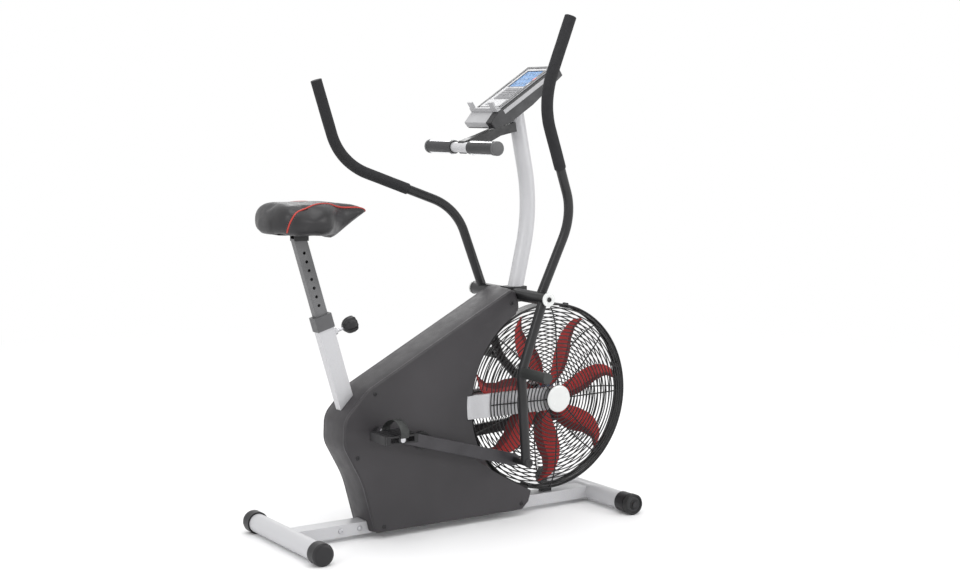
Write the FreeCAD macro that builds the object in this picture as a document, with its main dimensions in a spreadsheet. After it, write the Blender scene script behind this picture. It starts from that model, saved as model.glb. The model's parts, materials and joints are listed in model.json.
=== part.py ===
"""Air bike: a parametric FreeCAD document of the whole machine, one object per sub-part.

Millimetres. +X points forward, towards the fan; +Y is the rider's left; +Z is up.
The origin lies on the floor, under the middle of the machine.
"""
import FreeCAD, Part
import math
import os
import Sketcher
from FreeCAD import Placement, Rotation, Vector

# ---------------------------------------------------------------------------------------------
# Driving dimensions
# ---------------------------------------------------------------------------------------------
SIZES = {
    # base
    "overall_length": 1128.0, "foot_tube_radius": 25.0, "foot_cap_radius": 29.3, "foot_flat": 0.8,
    "rear_foot_width": 415.0, "front_foot_width": 447.0, "front_foot_setback": 114.0,
    "rear_foot_setback": 28.0,
    "foot_cap_length": 38.0, "tube_wall": 2.0, "beam_width": 50.0, "beam_height": 32.0,
    "beam_joint_setback": 278.0, "beam_stub_length": 110.0, "stub_clearance": 0.3,
    "wheel_width": 22.0, "wheel_collar_length": 30.0, "wheel_collar_radius": 27.5,
    "wheel_axle_radius": 5.0, "running_clearance": 0.05,
    "bolt_radius": 4.0, "bolt_head_radius": 7.0, "bolt_head_height": 4.0,
    # seat
    "seat_tilt": 16.4, "seat_tube_depth": 45.0, "seat_tube_width": 26.0, "seat_tube_wall": 1.5,
    "seat_tube_top": 585.5, "seat_tube_setback": 401.7, "post_depth": 35.0, "post_width": 20.0,
    "post_clearance": 0.3, "post_length": 370.0, "post_above_tube": 220.0, "post_hole_pitch": 23.6,
    "side_hole_start": 35.4,
    "post_hole_radius": 4.2, "pin_radius": 4.0, "pin_below_top": 47.4, "knob_radius": 22.0,
    "knob_length": 38.0, "saddle_length": 296.0, "saddle_setback": 100.18, "saddle_width": 206.0, "saddle_height": 90.0,
    "saddle_underside": 791.0, "saddle_wall": 12.0,
    # frame
    "top_tube_radius": 19.0, "strut_radius": 16.0, "mast_radius": 21.5, "mast_bend_radius": 500.0,
    "mast_height": 1100.0, "pivot_setforward": 183.0, "pivot_height": 612.6, "axle_radius": 12.5,
    "axle_half_width": 178.0, "head_half_width": 21.5,
    # casing
    "casing_half_width": 60.0, "casing_wall": 3.0, "spine_bulge": 3.0, "casing_floor_gap": 18.0,
    "casing_edge": 10.0, "mouth_half_width": 46.0, "mouth_clearance": 15.0,
    # fan
    "rim_radius": 261.7, "rim_half_width": 16.0, "rim_wall": 2.5, "fan_height": 316.9,
    "guard_wire": 3.0, "guard_rings": 22.0, "guard_ribs": 8.0,
    "guard_hub_radius": 36.5, "hub_cap_radius": 37.5, "fan_hub_radius": 33.0, "blade_tip_gap": 18.7,
    "fan_blades": 7.0, "blade_thickness": 2.5, "blade_twist": 16.0, "blade_tip_angle": 58.8,
    "fan_hub_reach": 18.0, "fan_axle_radius": 6.0,
    "fork_height": 64.0, "fork_thickness": 12.0, "fork_gap": 72.0, "fan_pulley_radius": 25.0,
    # drive
    "crank_setback": 143.0, "crank_height": 251.0, "crank_throw": 142.4, "crank_axle_radius": 9.95,
    "crank_shell_radius": 22.0, "crank_shell_half": 20.0, "crank_pulley_radius": 90.0,
    "crank_shell_wall": 5.0, "crank_window_radius": 20.0, "crank_window_circle": 52.0,
    "belt_width": 9.0, "belt_thickness": 3.0, "belt_flange": 1.5, "belt_play": 0.3,
    "pulley_plane": 29.0, "crank_side_gap": 12.0, "crank_thickness": 14.0, "crank_bar_height": 26.0,
    "crank_boss_radius": 24.0, "crank_boss_gap": 1.5, "spindle_radius": 7.0, "pedal_length": 92.0,
    "pedal_width": 90.0, "pedal_height": 24.0, "pedal_plate": 9.0, "tread_depth": 11.0,
    "pedal_sleeve_radius": 13.0, "pedal_rib_width": 12.0, "pedal_rib_height": 14.0,
    # links and arms
    "link_length": 424.4, "link_height": 33.0, "link_thickness": 12.0, "side_gap": 6.0,
    "rocker_length": 443.4, "arm_tube_radius": 12.85, "arm_half_spread": 157.0,
    "upper_half_spread": 138.0, "handle_half_spread": 257.0, "grip_thickness": 2.75,
    "sleeve_radius": 17.0, "peg_length": 120.0,
    "peg_radius": 14.5, "open_pivot_gap": 2.0,
    # console and pulse bar
    "console_tilt": 33.0, "console_length": 228.0, "console_width": 130.0, "console_depth": 46.0,
    "pulse_half_width": 168.5, "pulse_tube_radius": 14.0, "pulse_grip_radius": 18.0,
    "pulse_grip_length": 128.0,
}

doc = FreeCAD.newDocument("AirBike")
sheet = doc.addObject("Spreadsheet::Sheet", "Sizes")
for row, (alias, value) in enumerate(SIZES.items(), start=1):
    sheet.set("A%d" % row, alias)
    sheet.set("B%d" % row, str(value))
    sheet.setAlias("B%d" % row, alias)
doc.recompute()


class Values:
    """The sheet's cells, read by alias."""

    def __getattr__(self, alias):
        return float(sheet.get(alias))


S = Values()
NODES = []
X, Y, Z = Vector(1, 0, 0), Vector(0, 1, 0), Vector(0, 0, 1)


def name_node(obj, label):
    """Make an object a sub-part: its Label names its file."""
    obj.Label = label
    NODES.append(obj)
    return obj


def place(obj, base, turn=None):
    """Put an object at base, turned by a Rotation."""
    obj.Placement = Placement(Vector(*base), turn or Rotation())
    return obj


def bind(obj, **expressions):
    """Bind properties to expressions over the sheet."""
    for prop, text in expressions.items():
        obj.setExpression(prop, text)
    return obj


def rod(radius, length, base, axis=Y):
    """A cylinder that runs from base along axis; radius and length are expressions."""
    obj = doc.addObject("Part::Cylinder", "Rod")
    bind(obj, Radius=radius, Height=length)
    return place(obj, base, Rotation(Z, axis))


def block(length, width, height, base, turn=None):
    """A box from base; the three sides are expressions."""
    obj = doc.addObject("Part::Box", "Block")
    bind(obj, Length=length, Width=width, Height=height)
    return place(obj, base, turn)


def cut(base, *tools):
    """Base with each tool cut away in turn."""
    for tool in tools:
        result = doc.addObject("Part::Cut", "Cut")
        result.Base = base
        result.Tool = tool
        base = result
    return base


def fuse(*parts):
    result = doc.addObject("Part::MultiFuse", "Fuse")
    result.Shapes = list(parts)
    return result


def group(*parts):
    """Separate solids that share one node."""
    result = doc.addObject("Part::Compound", "Group")
    result.Links = list(parts)
    return result


def shaped(shape):
    """An object whose shape is made with Part's own functions."""
    obj = doc.addObject("Part::Feature", "Shape")
    obj.Shape = shape
    return obj


def evaluate(text):
    return float(sheet.evalExpression(text))


def start_body(name):
    return doc.addObject("PartDesign::Body", name)


def sketch_on(body, role):
    """An empty sketch on one of the body's own origin planes."""
    sketch = body.newObject("Sketcher::SketchObject", "Outline")
    plane = next(item for item in body.Origin.OriginFeatures if item.Role == role)
    sketch.AttachmentSupport = [(plane, "")]
    sketch.MapMode = "FlatFace"
    return sketch


def draw_polygon(sketch, corners):
    """A closed polygon; each corner is held from the origin by two expressions."""
    here = [(evaluate(across), evaluate(up)) for across, up in corners]
    count = len(here)
    for index in range(count):
        start, end = here[index], here[(index + 1) % count]
        sketch.addGeometry(Part.LineSegment(Vector(*start, 0), Vector(*end, 0)), False)
    for index in range(count):
        sketch.addConstraint(Sketcher.Constraint("Coincident", index, 2, (index + 1) % count, 1))
    for index, (across, up) in enumerate(corners):
        for kind, text in (("DistanceX", across), ("DistanceY", up)):
            rule = Sketcher.Constraint(kind, -1, 1, index, 1, evaluate(text))
            sketch.setExpression("Constraints[%d]" % sketch.addConstraint(rule), text)


def turned(name, corners, base=(0, 0, 0), turn=None):
    """A body of revolution about Y: corners are (radius, distance along Y)."""
    body = start_body(name)
    sketch = sketch_on(body, "XY_Plane")
    draw_polygon(sketch, corners)
    spin = body.newObject("PartDesign::Revolution", "Revolution")
    spin.Profile = sketch
    spin.ReferenceAxis = (sketch, ["V_Axis"])
    spin.Angle = 360
    return place(body, base, turn)


def plate(name, corners, thickness, base=(0, 0, 0), turn=None):
    """A body padded equally to both sides of the XZ plane: corners are (X, Z)."""
    body = start_body(name)
    sketch = sketch_on(body, "XZ_Plane")
    draw_polygon(sketch, corners)
    pad = body.newObject("PartDesign::Pad", "Pad")
    pad.Profile = sketch
    pad.SideType = "Symmetric"
    bind(pad, Length=thickness)
    return place(body, base, turn)


def bar(name, throw, height, thickness, base, turn=None):
    """A flat bar with round ends, from its first eye along its own +X."""
    half = "(%s) / 2" % height
    ends = [("0", "-" + half), (throw, "-" + half), (throw, half), ("0", half)]
    straight = plate(name, ends, thickness, base, turn)
    pieces = [straight]
    depth = evaluate(thickness) / 2
    for reach in (0.0, evaluate(throw)):
        offset = (turn or Rotation()).multVec(Vector(reach, 0, 0))
        eye = (base[0] + offset.x, base[1] - depth, base[2] + offset.z)
        pieces.append(rod(half, thickness, eye))
    return fuse(*pieces)


def mirrored(shape):
    return shape.mirror(Vector(0, 0, 0), Y)


def bent_path(points, radii):
    """Straight runs joined by tangent arcs; one radius for each inner point."""
    edges = []
    start = points[0]
    for index, radius in enumerate(radii, start=1):
        corner = points[index]
        back = (points[index - 1] - corner).normalize()
        ahead = (points[index + 1] - corner).normalize()
        half_turn = (math.pi - back.getAngle(ahead)) / 2
        reach = radius * math.tan(half_turn)
        first = corner + back * reach
        last = corner + ahead * reach
        inward = (back + ahead).normalize()
        middle = corner + inward * (radius / math.cos(half_turn) - radius)
        edges.append(Part.LineSegment(start, first).toShape())
        edges.append(Part.Arc(first, middle, last).toShape())
        start = last
    edges.append(Part.LineSegment(start, points[-1]).toShape())
    return Part.Wire(edges)


def swept(path, radius):
    """A round solid swept along a path."""
    first = path.Edges[0]
    start = first.valueAt(first.FirstParameter)
    along = first.tangentAt(first.FirstParameter)
    ring = Part.Wire([Part.makeCircle(radius, start, along)])
    return path.makePipeShell([ring], True, True)


def bent_tube(points, radii, radius, wall):
    path = bent_path(points, radii)
    return swept(path, radius).cut(swept(path, radius - wall))


def rounded_wire(corners, y, inset=0.0):
    """Closed outline in the plane Y = y, from (x, z, corner radius), moved inward by inset."""
    count = len(corners)
    area = sum(corners[i][0] * corners[(i + 1) % count][1] - corners[(i + 1) % count][0] * corners[i][1]
               for i in range(count))
    side = 1.0 if area > 0 else -1.0
    moved = []
    for i in range(count):
        before, here, after = corners[i - 1], corners[i], corners[(i + 1) % count]
        into = Vector(here[0] - before[0], here[1] - before[1], 0).normalize()
        out = Vector(after[0] - here[0], after[1] - here[1], 0).normalize()
        turn = into.x * out.y - into.y * out.x
        normal = Vector(-into.y - out.y, into.x + out.x, 0) * side
        spread = 1 + into.dot(out)
        point = Vector(here[0], here[1], 0) + normal * (inset / spread)
        radius = here[2] - inset if turn * side > 0 else here[2] + inset
        reach = max(radius, 1.0) * math.tan(into.getAngle(out) / 2)
        first, last = point - into * reach, point + out * reach
        bisector = (out - into).normalize()
        sagitta = max(radius, 1.0) * (1 / math.cos(into.getAngle(out) / 2) - 1)
        middle = point + bisector * sagitta
        moved.append([Vector(p.x, y, p.y) for p in (first, middle, last)])
    edges = []
    for i in range(count):
        edges.append(Part.Arc(*moved[i]).toShape())
        edges.append(Part.LineSegment(moved[i][2], moved[(i + 1) % count][0]).toShape())
    return Part.Wire(edges)


def ruled(wires):
    return Part.makeLoft(wires, True, True)


def disc(radius, x, z, low_y, high_y):
    return Part.makeCylinder(radius, high_y - low_y, Vector(x, low_y, z), Y)


def span_box(low, high):
    low, high = Vector(*low), Vector(*high)
    size = high - low
    return Part.makeBox(size.x, size.y, size.z, low)


# ---------------------------------------------------------------------------------------------
# Places worked out from the driving dimensions
# ---------------------------------------------------------------------------------------------
FRONT = S.overall_length / 2
REAR_FOOT_X = -FRONT + S.rear_foot_setback + S.foot_cap_radius
FRONT_FOOT_X = FRONT - S.front_foot_setback
FOOT_Z = S.foot_cap_radius - S.foot_flat
BEAM_TOP = FOOT_Z + S.beam_height / 2
BEAM_JOINT_X = -FRONT + S.beam_joint_setback
FAN_X, FAN_Z = FRONT - S.rim_radius, S.fan_height
CRANK_X, CRANK_Z = -S.crank_setback, S.crank_height
PIVOT_X, PIVOT_Z = S.pivot_setforward, S.pivot_height
FLIP = Rotation(Z, 180)


def on_circle(centre, radius, other, reach, forward):
    """The point at radius from centre and reach from other, on the forward or rearward side."""
    line = other - centre
    gap = line.Length
    along = (radius ** 2 - reach ** 2 + gap ** 2) / (2 * gap)
    across = math.sqrt(radius ** 2 - along ** 2)
    unit = line / gap
    foot = centre + unit * along
    sideways = Vector(-unit.z, 0, unit.x) * across
    picks = sorted((foot + sideways, foot - sideways), key=lambda point: point.x)
    return picks[-1] if forward else picks[0]


# At rest the right arm stands at its forward stop, where its link and the crank lie in one line.
PIVOT = Vector(PIVOT_X, 0, PIVOT_Z)
CRANK = Vector(CRANK_X, 0, CRANK_Z)
LOW_RIGHT = on_circle(PIVOT, S.rocker_length, CRANK, S.link_length - S.crank_throw, True)
PIN_RIGHT = CRANK + (CRANK - LOW_RIGHT).normalize() * S.crank_throw
PIN_LEFT = CRANK * 2 - PIN_RIGHT
LOW_LEFT = on_circle(PIVOT, S.rocker_length, PIN_LEFT, S.link_length, True)


def rocker_angle(low):
    """Angle of an arm's lower bolt from straight down, positive towards the front."""
    return math.degrees(math.atan2(low.x - PIVOT_X, PIVOT_Z - low.z))


# ---------------------------------------------------------------------------------------------
# Base
# ---------------------------------------------------------------------------------------------
def make_foot_caps():
    length, radius = "Sizes.foot_cap_length", "Sizes.foot_cap_radius"
    bore, wall = "Sizes.foot_tube_radius", "5"
    profile = [("0", length), (radius + " - 8", length), (radius + " - 2", length + " - 3"),
               (radius, length + " - 9"), (radius, "0"), (bore, "0"), (bore, length + " - " + wall),
               ("0", length + " - " + wall)]
    inner_end = S.rear_foot_width / 2 - S.foot_cap_length
    left = turned("RearCapLeft", profile, (REAR_FOOT_X, inner_end, FOOT_Z))
    right = turned("RearCapRight", profile, (REAR_FOOT_X, -inner_end, FOOT_Z), FLIP)
    low = block("100", "Sizes.rear_foot_width + 40", "100",
                (REAR_FOOT_X - 50, -S.rear_foot_width / 2 - 20, -100))
    name_node(cut(group(left, right), low), "rear_foot_caps")


def foot_tube(x, length):
    """A round tube across the machine, centred on its middle; length is an expression."""
    low_y = -evaluate(length) / 2
    outer = rod("Sizes.foot_tube_radius", length, (x, low_y, FOOT_Z))
    inner = rod("Sizes.foot_tube_radius - Sizes.tube_wall", length, (x, low_y, FOOT_Z))
    return cut(outer, inner)


def make_base():
    rear_length = "Sizes.rear_foot_width - 10"
    name_node(foot_tube(REAR_FOOT_X, rear_length), "rear_foot_tube")
    make_foot_caps()
    end_pieces = "2 * (Sizes.wheel_width + 8)"
    front_length = "Sizes.front_foot_width - " + end_pieces
    name_node(foot_tube(FRONT_FOOT_X, front_length), "front_foot_tube")
    make_wheels(evaluate(front_length) / 2)
    make_beams()


def make_wheels(tube_end):
    collar, bore = "Sizes.wheel_collar_radius", "Sizes.foot_tube_radius"
    length, axle = "Sizes.wheel_collar_length", "Sizes.wheel_axle_radius"
    wheel_end = "(%s + 4 + 1 + Sizes.wheel_width)" % length
    profile = [("0", length), (bore, length), (bore, "0"), (collar, "0"), (collar, length + " + 4"),
               (axle, length + " + 4"), (axle, wheel_end), ("9", wheel_end + " "), ("9", wheel_end + " + 3"),
               ("0", wheel_end + " + 3")]
    start = tube_end - S.wheel_collar_length
    left = turned("CollarLeft", profile, (FRONT_FOOT_X, start, FOOT_Z))
    right = turned("CollarRight", profile, (FRONT_FOOT_X, -start, FOOT_Z), FLIP)
    name_node(group(left, right), "wheel_collars")
    hub = axle + " + Sizes.running_clearance"
    rim, width = "(Sizes.foot_cap_radius - Sizes.foot_flat)", "Sizes.wheel_width"
    tread = [(hub, "0.5"), ("14", "0.5"), ("14", "3"), (rim + " - 5", "3"), (rim + " - 5", "0.5"),
             (rim + " - 2", "0.5"), (rim, "3"), (rim, width + " - 3"), (rim + " - 2", width),
             (rim + " - 5", width), (rim + " - 8", width + " - 4"), ("15", width + " - 4"),
             ("11", width), (hub, width)]
    wheel_y = tube_end + 4.5
    name_node(turned("WheelLeft", tread, (FRONT_FOOT_X, wheel_y, FOOT_Z)), "transport_wheel_left")
    name_node(turned("WheelRight", tread, (FRONT_FOOT_X, -wheel_y, FOOT_Z), FLIP), "transport_wheel_right")


def box_tube(length, width, height, base):
    """A square tube along X; the three sides are expressions, base its low rear middle."""
    half = evaluate(width) / 2
    outer = block(length, width, height, (base[0], base[1] - half, base[2]))
    inner = block(length, width + " - 2 * Sizes.tube_wall", height + " - 2 * Sizes.tube_wall",
                  (base[0], base[1] - half + S.tube_wall, base[2] + S.tube_wall))
    return cut(outer, inner)


def bolt_bores():
    """Bores across the beam for the bolts of the rear section."""
    return [rod("Sizes.bolt_radius + 0.2", "Sizes.beam_width + 4", (x, -S.beam_width / 2 - 2, FOOT_Z))
            for x in beam_bolt_places()]


def beam_bolt_places():
    end = BEAM_JOINT_X
    return (end - 78, end - 22)


def make_beams():
    low = FOOT_Z - S.beam_height / 2
    rear_length = "Sizes.beam_joint_setback - Sizes.rear_foot_setback - Sizes.foot_cap_radius"
    rear = box_tube(rear_length, "Sizes.beam_width", "Sizes.beam_height", (REAR_FOOT_X, 0, low))
    foot = rod("Sizes.foot_tube_radius", "Sizes.beam_width + 10", (REAR_FOOT_X, -S.beam_width / 2 - 5, FOOT_Z))
    name_node(cut(rear, foot, *bolt_bores()), "rear_beam")
    main_length = "Sizes.overall_length - Sizes.beam_joint_setback - Sizes.front_foot_setback"
    main = box_tube(main_length, "Sizes.beam_width", "Sizes.beam_height", (BEAM_JOINT_X, 0, low))
    foot = rod("Sizes.foot_tube_radius", "Sizes.beam_width + 10", (FRONT_FOOT_X, -S.beam_width / 2 - 5, FOOT_Z))
    inset = S.tube_wall + S.stub_clearance
    slim = " - 2 * (Sizes.tube_wall + Sizes.stub_clearance)"
    overlap = 6
    stub = box_tube("Sizes.beam_stub_length + %d" % overlap, "Sizes.beam_width" + slim, "Sizes.beam_height" + slim,
                    (BEAM_JOINT_X - S.beam_stub_length, 0, low + inset))
    ring = box_tube("%d" % overlap, "Sizes.beam_width - 1", "Sizes.beam_height - 1", (BEAM_JOINT_X, 0, low + 0.5))
    name_node(cut(fuse(main, stub, ring), foot, *bolt_bores()), "main_beam")


def button_bolt(base, outward, shank):
    """A button-head bolt: the head's underside lies at base and its shank points inward."""
    head = rod("Sizes.bolt_head_radius", "Sizes.bolt_head_height", base, outward)
    dome = doc.addObject("Part::Fillet", "Dome")
    dome.Base = head
    doc.recompute()
    far = max(range(len(head.Shape.Edges)), key=lambda i: head.Shape.Edges[i].CenterOfMass.dot(outward))
    dome.Edges = [(far + 1, 2.5, 2.5)]
    shaft = rod("Sizes.bolt_radius", shank, base, outward * -1)
    return fuse(dome, shaft)


def make_bolts():
    bolts = []
    for x in beam_bolt_places():
        for side in (-1, 1):
            base = (x, side * S.beam_width / 2, FOOT_Z)
            bolts.append(button_bolt(base, Y * side, "Sizes.tube_wall * 2 + 4"))
    for side in (-1, 1):
        base = (HEAD_BOLT_X, side * S.head_half_width, HEAD_BOLT_Z)
        bolts.append(button_bolt(base, Y * side, "6"))
    name_node(group(*bolts), "frame_bolts")


# ---------------------------------------------------------------------------------------------
# Seat
# ---------------------------------------------------------------------------------------------
SEAT_LEAN = Rotation(Y, -S.seat_tilt)
SEAT_UP = SEAT_LEAN.multVec(Z)
SEAT_FORWARD = SEAT_LEAN.multVec(X)
SEAT_TOP = Vector(-S.seat_tube_setback, 0, S.seat_tube_top)


def on_seat_axis(along, forward=0.0):
    return SEAT_TOP + SEAT_UP * along + SEAT_FORWARD * forward


def seat_block(depth, width, height, low, forward=0.0):
    """A box centred on the seat tube's axis, from low along it; sides are expressions."""
    corner = on_seat_axis(low, forward - evaluate(depth) / 2) - Y * (evaluate(width) / 2)
    return block(depth, width, height, tuple(corner), SEAT_LEAN)


def pin_bore(radius, start, length):
    """A rod along the pull pin's axis, from start ahead of the seat tube's middle."""
    return rod(radius, length, tuple(on_seat_axis(-S.pin_below_top, start)), SEAT_FORWARD)


def make_seat_tube():
    depth, width, wall = "Sizes.seat_tube_depth", "Sizes.seat_tube_width", "Sizes.seat_tube_wall"
    length = "(Sizes.seat_tube_top - Sizes.foot_cap_radius) / cos(Sizes.seat_tilt * 1 deg)"
    run = evaluate(length)
    outer = seat_block(depth, width, length, -run)
    hollow = seat_block(depth + " - 2 * " + wall, width + " - 2 * " + wall, length + " + 2", -run - 1)
    boss = pin_bore("Sizes.pin_radius + 5", S.seat_tube_depth / 2 - 1, "11")
    below = block("400", "200", "200", (CRANK_X - 300, -100, BEAM_TOP - 200))
    bore = pin_bore("Sizes.pin_radius + Sizes.running_clearance", S.post_depth / 2, "30")
    name_node(cut(fuse(cut(outer, hollow), boss), below, bore), "seat_tube")


def make_seat_bushing():
    collar = seat_block("Sizes.seat_tube_depth + 5", "Sizes.seat_tube_width + 5", "38", -30)
    pocket = seat_block("Sizes.seat_tube_depth", "Sizes.seat_tube_width", "30", -30)
    liner = seat_block("Sizes.seat_tube_depth - 2 * Sizes.seat_tube_wall",
                       "Sizes.seat_tube_width - 2 * Sizes.seat_tube_wall", "75", -70)
    throat = seat_block("Sizes.post_depth + 2 * Sizes.post_clearance",
                        "Sizes.post_width + 2 * Sizes.post_clearance", "90", -75)
    bore = pin_bore("Sizes.pin_radius + 0.4", 0, "60")
    name_node(cut(fuse(cut(collar, pocket), liner), throat, bore), "seat_bushing")


def make_seat_post():
    low = S.post_above_tube - S.post_length
    post = seat_block("Sizes.post_depth", "Sizes.post_width", "Sizes.post_length", low)
    wall = "2 * Sizes.tube_wall"
    hollow = seat_block("Sizes.post_depth - " + wall, "Sizes.post_width - " + wall, "Sizes.post_length + 2", low - 1)
    holes = []
    for step in range(7):
        side = on_seat_axis(S.side_hole_start + step * S.post_hole_pitch) - Y * S.post_width
        holes.append(rod("Sizes.post_hole_radius", "2 * Sizes.post_width", tuple(side)))
    for step in range(-4, 8):
        front = on_seat_axis(-S.pin_below_top + step * S.post_hole_pitch)
        holes.append(rod("Sizes.post_hole_radius", "Sizes.post_depth", tuple(front), SEAT_FORWARD))
    name_node(cut(post, hollow, fuse(*holes)), "seat_post")


def make_seat_pin():
    front = S.post_depth / 2 + S.post_clearance / 2
    knob_start = S.seat_tube_depth / 2 + 30
    name_node(pin_bore("Sizes.pin_radius", front, "%.2f" % (knob_start - front)), "seat_pin")
    radius, length = "Sizes.knob_radius", "Sizes.knob_length"
    profile = [("0", "0"), (radius + " * 0.45", "0"), (radius + " * 0.62", "5"),
               (radius + " * 0.98", length + " * 0.45"), (radius, length + " * 0.8"),
               (radius + " * 0.82", length + " * 0.95"), ("0", length)]
    place_at = tuple(on_seat_axis(-S.pin_below_top, knob_start))
    name_node(turned("Knob", profile, place_at, Rotation(Y, SEAT_FORWARD)), "seat_knob")


POST_HEAD = SEAT_TOP + SEAT_UP * S.post_above_tube
SADDLE_TAIL = POST_HEAD.x - S.saddle_setback
SADDLE_LOW = S.saddle_underside
SADDLE_TOP = SADDLE_LOW + S.saddle_height
CAVITY_TOP = SADDLE_LOW + 24
PAN_THICKNESS = 5
PAN_CLEARANCE = 0.3


def eased(t, start, run):
    """0 before start, 1 after start + run, smooth between."""
    return 0.5 - 0.5 * math.cos(math.pi * min(1.0, max(0.0, (t - start) / run)))


def saddle_half_width(t):
    """Half-width of the saddle at t, from 0 at its tail to 1 at its nose."""
    tail = (1 - max(0.0, (0.2 - t) / 0.2) ** 3) ** 0.5
    nose = (1 - max(0.0, (t - 0.86) / 0.14) ** 3) ** 0.5
    return S.saddle_width / 2 * (1 - 0.7 * eased(t, 0.42, 0.36)) * max(0.35, tail) * max(0.45, nose)


def saddle_low(t):
    """Height of the saddle's lower edge: a little up at the tail, level, then rising under the nose."""
    tail = max(0.0, 0.3 - t) / 0.3
    return SADDLE_LOW + S.saddle_height * (0.18 * tail ** 2 + 0.69 * eased(t, 0.55, 0.5))


def saddle_high(t):
    """Height of the saddle's crown: rolled down at the tail, full, then dropping to the nose."""
    tail, nose = max(0.0, 0.14 - t) / 0.14, max(0.0, t - 0.6) / 0.4
    return SADDLE_TOP - S.saddle_height * (0.44 * tail ** 2 + 0.24 * nose ** 1.5)


def saddle_section(t, low, high, inset):
    """One cross section of the saddle: a smooth closed curve in a plane X = const."""
    half = saddle_half_width(t) - inset
    x = SADDLE_TAIL + S.saddle_length * t
    steps = 16
    points = []
    for i in range(steps):
        angle = 2 * math.pi * i / steps
        across = math.copysign(abs(math.cos(angle)) ** 0.7, math.cos(angle)) * half
        rise = math.copysign(abs(math.sin(angle)) ** 0.7, math.sin(angle)) * (high - low) / 2
        points.append(Vector(x, across, (low + high) / 2 + rise))
    curve = Part.BSplineCurve()
    curve.interpolate(points, PeriodicFlag=True)
    return Part.Wire([curve.toShape()])


def saddle_hollow(stations, inset):
    """The room under the cover, inset from its outside."""
    sections = [saddle_section(t, SADDLE_LOW - 60, CAVITY_TOP, inset) for t in stations]
    return Part.makeLoft(sections, True, False)


def make_saddle():
    """The saddle: a steel clamp on the post, a plastic pan and the padded cover round it."""
    stations = (0.0, 0.05, 0.12, 0.22, 0.35, 0.48, 0.6, 0.7, 0.8, 0.9, 0.96, 1.0)
    sections = [saddle_section(t, saddle_low(t), saddle_high(t), 0) for t in stations]
    outer = Part.makeLoft(sections, True, False)
    cavity = saddle_hollow(stations[1:7], S.saddle_wall)
    name_node(shaped(outer.cut(cavity)), "saddle_pad")
    slab = span_box((SADDLE_TAIL, -150, CAVITY_TOP - 4 - PAN_THICKNESS), (0, 150, CAVITY_TOP - 4))
    snug = saddle_hollow(stations[1:7], S.saddle_wall + PAN_CLEARANCE)
    name_node(shaped(snug.common(slab)), "saddle_pan")
    clamp_top = CAVITY_TOP - 4 - PAN_THICKNESS
    near, far = S.post_width / 2 + 0.1, S.post_width / 2 + 3.1
    ears = [span_box((POST_HEAD.x - 16, low, clamp_top - 20), (POST_HEAD.x + 24, low + 3, clamp_top))
            for low in (near, -far)]
    roof = span_box((POST_HEAD.x - 30, -22, clamp_top - 3), (POST_HEAD.x + 36, 22, clamp_top))
    post = Part.makeBox(S.post_depth + 0.2, S.post_width + 0.2, 200)
    post.Placement = Placement(on_seat_axis(S.post_above_tube - 199.9, -S.post_depth / 2 - 0.1)
                               - Y * (S.post_width / 2 + 0.1), SEAT_LEAN)
    name_node(shaped(roof.fuse(ears).cut(post)), "saddle_clamp")


# ---------------------------------------------------------------------------------------------
# Frame
# ---------------------------------------------------------------------------------------------
HEAD_LOW, HEAD_HIGH = PIVOT_Z - 22, PIVOT_Z + 20
HEAD_REAR, HEAD_FRONT = PIVOT_X - 19, PIVOT_X + 40
HEAD_BOLT_X, HEAD_BOLT_Z = PIVOT_X + S.sleeve_radius + S.bolt_head_radius + 5, PIVOT_Z + 4
MAST_FOOT = Vector(PIVOT_X + 17, 0, HEAD_HIGH)
MAST_BEND = MAST_FOOT + Vector(50, 0, 216)
MAST_TOP = Vector(MAST_FOOT.x, 0, S.mast_height)
MAST_AXIS = (MAST_TOP - MAST_BEND).normalize()
MAST_INSERT = 30
TOP_TUBE_END = Vector(HEAD_REAR, 0, PIVOT_Z - 17)
TOP_TUBE_DROP = 0.518
SHELL_BORE = S.crank_shell_radius - S.crank_shell_wall


def top_tube_z(x):
    return TOP_TUBE_END.z - (TOP_TUBE_END.x - x) * TOP_TUBE_DROP


def seat_front_x(z):
    """X of the seat tube's front face at height z."""
    slope = math.tan(math.radians(S.seat_tilt))
    half = S.seat_tube_depth / 2 / math.cos(math.radians(S.seat_tilt))
    return SEAT_TOP.x + (SEAT_TOP.z - z) * slope + half


def strut(x, low, high):
    return disc_up(S.strut_radius, x, low, high).cut(disc_up(S.strut_radius - S.tube_wall, x, low, high))


def disc_up(radius, x, low, high):
    return Part.makeCylinder(radius, high - low, Vector(x, 0, low), Z)


def make_inner_frame():
    """Top tube, crank shell and the struts that tie them to the beam, welded into one."""
    start = Vector(seat_front_x(300) - 40, 0, top_tube_z(seat_front_x(300) - 40))
    run = TOP_TUBE_END - start
    top = Part.makeCylinder(S.top_tube_radius, run.Length + 20, start, run)
    hollow = Part.makeCylinder(S.top_tube_radius - S.tube_wall, run.Length + 20, start, run)
    seat_zone = Part.makeBox(400, 200, 1200)
    seat_zone.Placement = Placement(on_seat_axis(-800, S.seat_tube_depth / 2 - 400) - Y * 100, SEAT_LEAN)
    head_zone = span_box((HEAD_REAR, -50, 400), (HEAD_REAR + 200, 50, 900))
    shell = disc(S.crank_shell_radius, CRANK_X, CRANK_Z, -S.crank_shell_half, S.crank_shell_half)
    bore = disc(SHELL_BORE, CRANK_X, CRANK_Z, -S.crank_shell_half - 1, S.crank_shell_half + 1)
    struts = [strut(x, BEAM_TOP, top_tube_z(x)) for x in (CRANK_X, FAN_STRUT_X)]
    body = top.fuse([shell] + struts).cut(hollow).cut(bore).cut(seat_zone).cut(head_zone)
    name_node(shaped(max(body.Solids, key=lambda solid: solid.Volume)), "inner_frame")


FAN_STRUT_X = CRANK_X + 61
FORK_BACK = FAN_STRUT_X + 16
CHEEK_FRONT = FAN_STRUT_X + 59


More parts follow.
